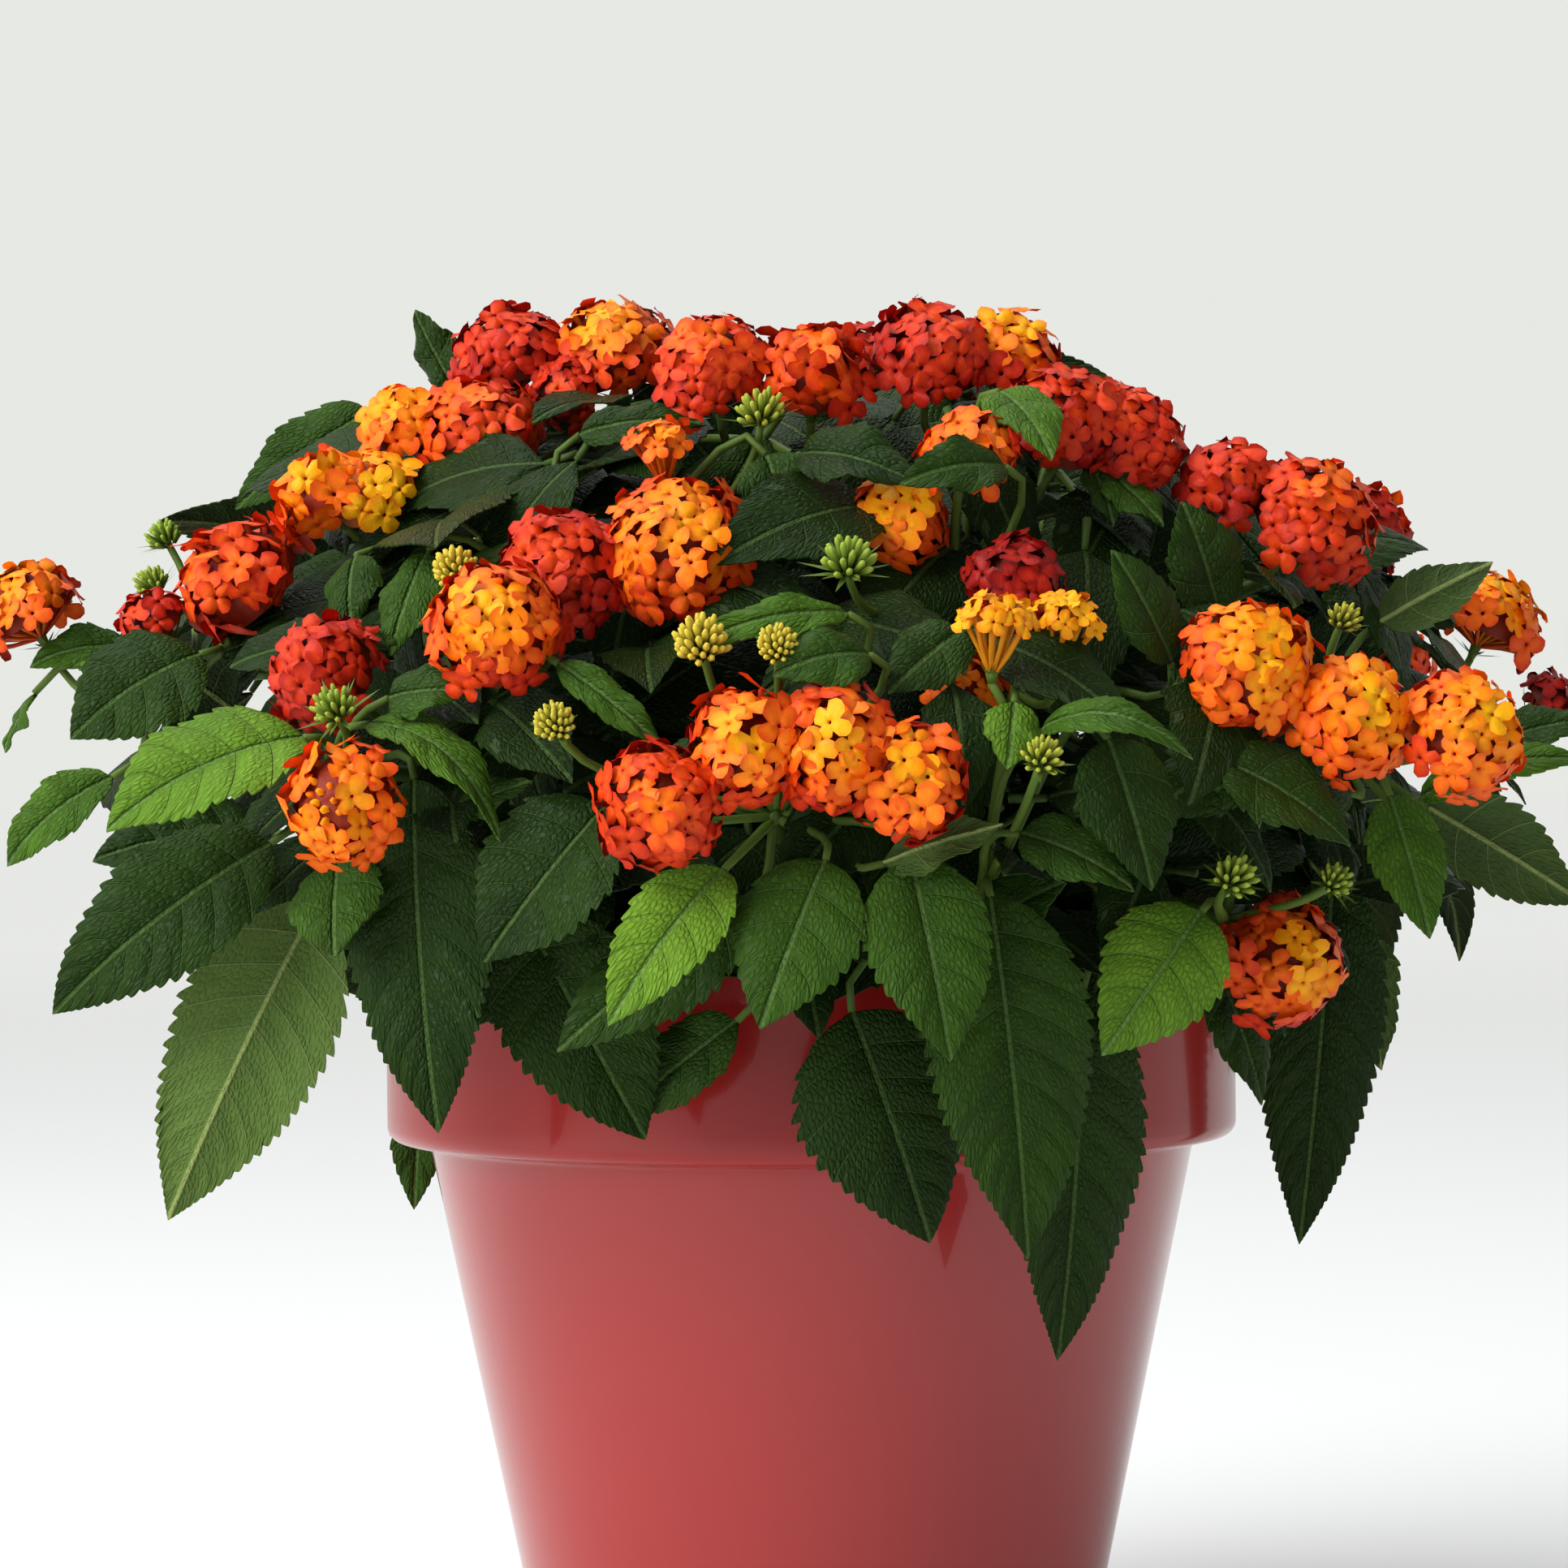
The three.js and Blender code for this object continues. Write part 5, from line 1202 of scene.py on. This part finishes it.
def innerLeaves():
    draft = Draft("innerLeaves")
    for shoot, stem in enumerate(stems):
        draw = Draw(seeds["stemLeaves"] + 31 * shoot)
        for index in range(inner["perStem"]):
            share = inner["from"] + (inner["to"] - inner["from"]) * (index + draw.unit()) / inner["perStem"]
            node, heading = stem.at(share), stem.heading(share)
            one, _ = basisFor(heading, index * goldenTurn)
            toward = unit(one + heading * draw.between(0.3, 1.0) - up * draw.between(-0.2, 0.5))
            face = unit(up + outwardFrom(node[0], node[1]))
            innerLeaf(draft, node, toward, draw.between(inner["short"], inner["long"]), face,
                      seeds["stemLeaf"] + 97 * shoot + index)
    # a dome of leaves just under the outer ones
    draw = Draw(seeds["domeLeaves"])
    for index in range(inner["dome"]):
        share = (index + 0.5) / inner["dome"]
        height = inner["low"] + (inner["high"] - 8 - inner["low"]) * share
        angle = math.degrees(index * goldenTurn)
        reach = max(4, outlineAt(height) - draw.between(*inner["deep"]))
        reach *= 1 if share < inner["sparse"] else draw.unit() ** 0.5
        node = atAngle(angle, reach, height)
        outer = outwardFrom(node[0], node[1])
        aside = unit(np.cross(up, outer)) * draw.between(-1, 1)
        toward = unit(outer * draw.between(0.2, 0.7) + aside - up * draw.between(0.0, 0.9))
        innerLeaf(draft, node - toward * inner["back"], toward, draw.between(inner["short"], inner["long"]),
                  unit(outer + up * 0.8), seeds["domeLeaf"] + 53 * index)
    # and a loose filling of them in the middle, painted dark as shade like the rest
    draw = Draw(seeds["coreLeaves"])
    for index in range(inner["core"]):
        angle, reach = draw.between(0, 360), inner["coreReach"] * math.sqrt(draw.between(0.03, 1))
        node = atAngle(angle, reach, draw.between(*inner["coreHeights"]))
        toward = unit(vec(draw.between(-1, 1), draw.between(-1, 1), draw.between(-0.7, 0.3)))
        length = draw.between(*inner["coreLengths"])
        face = unit(outwardFrom(node[0], node[1]) + up * draw.between(0, 0.6))
        innerLeaf(draft, node - toward * inner["back"], toward, length, face, seeds["coreLeaf"] + 41 * index)
    draft.build([finishes["leaf"], finishes["stem"]], "leaf")


innerLeaves()


# Blooms

for index, heads in enumerate(bunches):
    node = f"bloom_{index + 1:02d}_{bunchHues[index]}"
    draft = Draft(f"bloom.{index + 1:02d}")
    for headIndex, head in enumerate(heads):
        others = [other for other in heads if other is not head]
        seed = seeds["head"] + 71 * index + 13 * headIndex
        headInto(draft, head, others, index < len(frontBunches), seed)
    draft.build([finishes["petal"], finishes["stem"]], "floret_" + bunchHues[index], node)
print("made", len(bunches), "blooms")


# Woody crown, soil and pot

bark = {"rings": 13, "sides": 14, "uneven": 0.06, "branchRings": 9, "branchSides": 9, "taper": (1.12, 0.84)}


def makeCrown():
    draft = Draft("woodyCrown")
    foot, head = vec(0, 0, limb["foot"]), vec(0, 0, limb["top"])
    line = Curve(foot, head).at(np.linspace(0, 1, bark["rings"]))
    swell = limb["trunk"] * (1 + bark["uneven"] * np.sin(np.arange(bark["rings"]) * 1.9))
    points, faces = sweep(line, swell, bark["sides"])
    draft.add(points, faces, 0, points)
    for curve in limbs:
        line = curve.part(0, limb["woody"]).at(np.linspace(0, 1, bark["branchRings"]))
        radii = np.linspace(*bark["taper"], bark["branchRings"]) * limb["branch"]
        points, faces = sweep(line, radii, bark["branchSides"])
        draft.add(points, faces, 0, points)
    draft.build([finishes["bark"]], "bark", "crown")


def spunPoints(profile, turns):
    # the points of a profile of radii and heights, taken round the axis
    angles = np.linspace(0, 2 * math.pi, turns, endpoint=False)
    rings = [[(r * math.sin(a), -r * math.cos(a), z) for a in angles] for r, z in profile]
    return np.array(rings).reshape(-1, 3)


def makeSoil():
    draft, draw = Draft("pottingSoil"), Draw(seeds["soil"])
    innerR = pot["rim"] - pot["wall"] - soil["gap"]
    ring, turn = np.meshgrid(np.linspace(0, 1, soil["rings"]),
                             np.linspace(0, 2 * math.pi, soil["turns"], endpoint=False), indexing="ij")
    reach = innerR * (1 - ring * (1 - limb["trunk"] / innerR))
    lumps = sum(math.sin(i * 1.7) * np.sin(reach * np.cos(turn) * 0.11 * i + i) *
                np.sin(reach * np.sin(turn) * 0.13 * i + 2 * i) / i for i in range(1, 9))
    fade = np.sin(math.pi * np.minimum(1, ring * 6) / 2)
    height = soil["top"] + soil["crown"] * ring + soil["grain"] * lumps * fade
    top = np.stack([reach * np.sin(turn), -reach * np.cos(turn), height], axis=-1).reshape(-1, 3)
    draft.add(top, gridFaces(soil["rings"], soil["turns"], closed=True, flip=True), 0, top)
    # the buried sides, down to the pot's floor
    neck = pot["height"] - pot["collar"]
    sides = [(innerR, soil["top"]), (innerR, neck + 9), (pot["neck"] - pot["wall"] - soil["gap"], neck - 2),
             (pot["foot"] - pot["wall"] - soil["gap"], pot["floor"] + 0.4), (0, pot["floor"] + 0.4)]
    rows = spunPoints(sides, soil["sideTurns"])
    draft.add(rows, gridFaces(len(sides), soil["sideTurns"], closed=True), 0, rows)
    for _ in range(soil["crumbs"]):
        angle, away = draw.between(0, 360), math.sqrt(draw.unit()) * (innerR - 4)
        size = draw.between(*soil["crumb"])
        rise = soil["top"] + soil["crown"] * (1 - away / innerR) + size * 0.25
        middle = atAngle(angle, away, rise)
        shape = np.array([[1, 0, 0], [-1, 0, 0], [0, 1, 0], [0, -1, 0], [0, 0, 1], [0, 0, -1]], dtype=float)
        shape *= [[draw.between(0.6, 1.3)] for _ in range(6)]
        faces = [[0, 2, 4], [2, 1, 4], [1, 3, 4], [3, 0, 4], [2, 0, 5], [1, 2, 5], [3, 1, 5], [0, 3, 5]]
        points = middle + shape * size
        draft.add(points, faces, 0, points)
    draft.build([finishes["soil"]], "soil", "soil")


def arcPoints(middle, radius, start, end, steps=6):
    # points on an arc between two angles in degrees
    turns = np.radians(np.linspace(start, end, steps))
    return [(middle[0] + radius * math.cos(t), middle[1] + radius * math.sin(t)) for t in turns]


def makePot():
    neck, rim, foot, wall = pot["height"] - pot["collar"], pot["rim"], pot["foot"], pot["wall"]
    top, edge, hollow, shoulder, lip = pot["height"], 3, 2.2, 3.4, 2
    profile = [(0, 0), (foot - edge - 1, 0)]
    profile += arcPoints((foot - edge, edge), edge, -90, -10)
    for share in np.linspace(0.02, 0.985, 24):
        profile.append((foot + (pot["neck"] - foot) * share, edge + (neck - edge) * share))
    profile += arcPoints((pot["neck"] + 2, neck - 1.8), hollow, 170, 100, 5)
    profile += [(pot["neck"] + 4, neck + 0.7)]
    profile += arcPoints((rim - shoulder, neck + shoulder + 1), shoulder, -80, 0, 8)
    for share in np.linspace(0.05, 1, 8):
        profile.append((rim, neck + 5 + (pot["collar"] - 8) * share))
    profile += arcPoints((rim - lip, top - lip), lip, 12, 168, 10)
    profile += [(rim - wall, top - 3), (rim - wall, neck + 8), (pot["neck"] - wall, neck - 2),
                (foot - wall, pot["floor"]), (0, pot["floor"])]
    points = spunPoints(profile, pot["sides"])
    mesh = bpy.data.meshes.new("pot")
    mesh.from_pydata((points * mm).tolist(), [], gridFaces(len(profile), pot["sides"], closed=True).tolist())
    piece = bpy.data.objects.new("glazedPot", mesh)
    bpy.context.scene.collection.objects.link(piece)
    merge = piece.modifiers.new("merge", "WELD")
    merge.merge_threshold = 1e-6
    cutters = []
    for index in range(pot["holes"]):
        place = atAngle(45 + 360 * index / pot["holes"], pot["holeFromAxis"], pot["floor"] / 2) * mm
        bpy.ops.mesh.primitive_cylinder_add(vertices=pot["holeSides"], radius=pot["holeRadius"] * mm,
                                            depth=5 * pot["floor"] * mm, location=place)
        cutter = bpy.context.object
        cut = piece.modifiers.new("drain", "BOOLEAN")
        cut.object, cut.operation, cut.solver = cutter, "DIFFERENCE", "EXACT"
        cutters.append(cutter)
    bpy.context.view_layer.update()
    whole = bpy.data.meshes.new_from_object(piece.evaluated_get(bpy.context.evaluated_depsgraph_get()))
    piece.modifiers.clear()
    piece.data = whole
    for cutter in cutters:
        bpy.data.objects.remove(cutter)
    whole.materials.clear()
    whole.materials.append(finishes["glaze"])
    whole.shade_smooth()
    whole.set_sharp_from_angle(angle=math.radians(38))
    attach(piece, "root")
    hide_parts("pot")


makeCrown()
makeSoil()
makePot()
print("made the crown, the soil and the pot")


# Floor, light and camera

studio = {"near": (0.80, 0.81, 0.805), "far": (0.95, 0.96, 0.93), "seen": (0.80, 0.812, 0.772),
          "shade": 0.20, "window": 0.5, "behind": 0.45, "sun": 1.45, "sunAngle": 50,
          "lift": (0.10, 0.102, 0.11), "farLift": (0.055, 0.057, 0.06),
          "floorRadius": 60, "floorBelow": 0.0003}
lamps = [
    # name, place in metres, what it faces, width, height, watts
    ("key", (-1.5, -1.1, 1.0), (0, 0, 0.2), 1.1, 1.3, 26),
    ("top", (-0.3, 0.4, 1.9), (0, 0, 0.24), 1.3, 1.3, 9),
]


def makeWorld():
    # a pale room with a window on the left: what lights the plant is darker to the right and in front
    world = bpy.data.worlds.new("paleRoom")
    world.use_nodes = True
    f = Nodes(world.node_tree)
    x, y, _ = f.parts("ShaderNodeSeparateXYZ", f.node("ShaderNodeTexCoord"))
    light = studio["shade"] + x.ramp(0.0, -1.0, 0.0, studio["window"])
    light = light + y.ramp(-0.2, 0.9, 0.0, studio["behind"])
    seen = f.node("ShaderNodeLightPath")
    room = f.mixed(light, (0, 0, 0), (1.0, 1.0, 0.99))
    shown = f.mixed(seen, room, studio["seen"])
    background = f.node("ShaderNodeBackground", None, {"Color": shown, "Strength": 1.0})
    output = f.tree.nodes.new("ShaderNodeOutputWorld")
    f.tree.links.new(background.socket, output.inputs["Surface"])
    bpy.context.scene.world = world


def makeFloor():
    # the camera sees the floor a little lighter than it shines on the plant
    f = Finish("paleFloor", studio["near"])
    where = f.node("ShaderNodeTexCoord", out=3)
    away = f.node("ShaderNodeVectorMath", {"operation": "LENGTH"}, {0: where}, out=1)
    seen = f.node("ShaderNodeLightPath")
    lift = f.mixed(seen, (0, 0, 0), f.mixed(away.ramp(0.6, 4.0), studio["lift"], studio["farLift"]))
    f.shaded(base_color=f.mixed(away.ramp(0.5, 6.0), studio["near"], studio["far"]), roughness=0.95,
             specular_ior_level=0.1, emission_color=lift, emission_strength=1.0)
    bpy.ops.mesh.primitive_circle_add(vertices=96, radius=studio["floorRadius"], fill_type="NGON",
                                      location=(0, 0, -studio["floorBelow"]))
    floor = bpy.context.object
    floor.name = "floor"
    floor.data.materials.append(f.material)


def makeLamps():
    sun = bpy.data.lights.new("sky", "SUN")
    sun.energy, sun.angle = studio["sun"], math.radians(studio["sunAngle"])
    sky = bpy.data.objects.new("sky", sun)
    sky.rotation_euler = Vector((1.0, 0.8, -1.5)).to_track_quat("-Z", "Y").to_euler()
    bpy.context.scene.collection.objects.link(sky)
    for name, place, target, width, height, watts in lamps:
        light = bpy.data.lights.new(name, "AREA")
        light.shape, light.size, light.size_y, light.energy = "RECTANGLE", width, height, watts
        lamp = bpy.data.objects.new(name, light)
        lamp.location = place
        lamp.rotation_euler = (Vector(target) - Vector(place)).to_track_quat("-Z", "Y").to_euler()
        bpy.context.scene.collection.objects.link(lamp)


def makeCamera():
    data = bpy.data.cameras.new("camera")
    data.sensor_width, data.sensor_fit = 36, "HORIZONTAL"
    data.lens = 36 * eye["distance"] / eye["across"]
    camera = bpy.data.objects.new("camera", data)
    camera.location = (eye["middle"] * mm, -eye["distance"] * mm, eye["height"] * mm)
    camera.rotation_euler = (math.radians(90), math.radians(eye["roll"]), 0)
    bpy.context.scene.collection.objects.link(camera)
    bpy.context.scene.camera = camera
    bpy.context.scene.view_settings.view_transform = "Standard"


makeFloor()
makeWorld()
makeLamps()
makeCamera()
print("set the floor, the light and the camera")
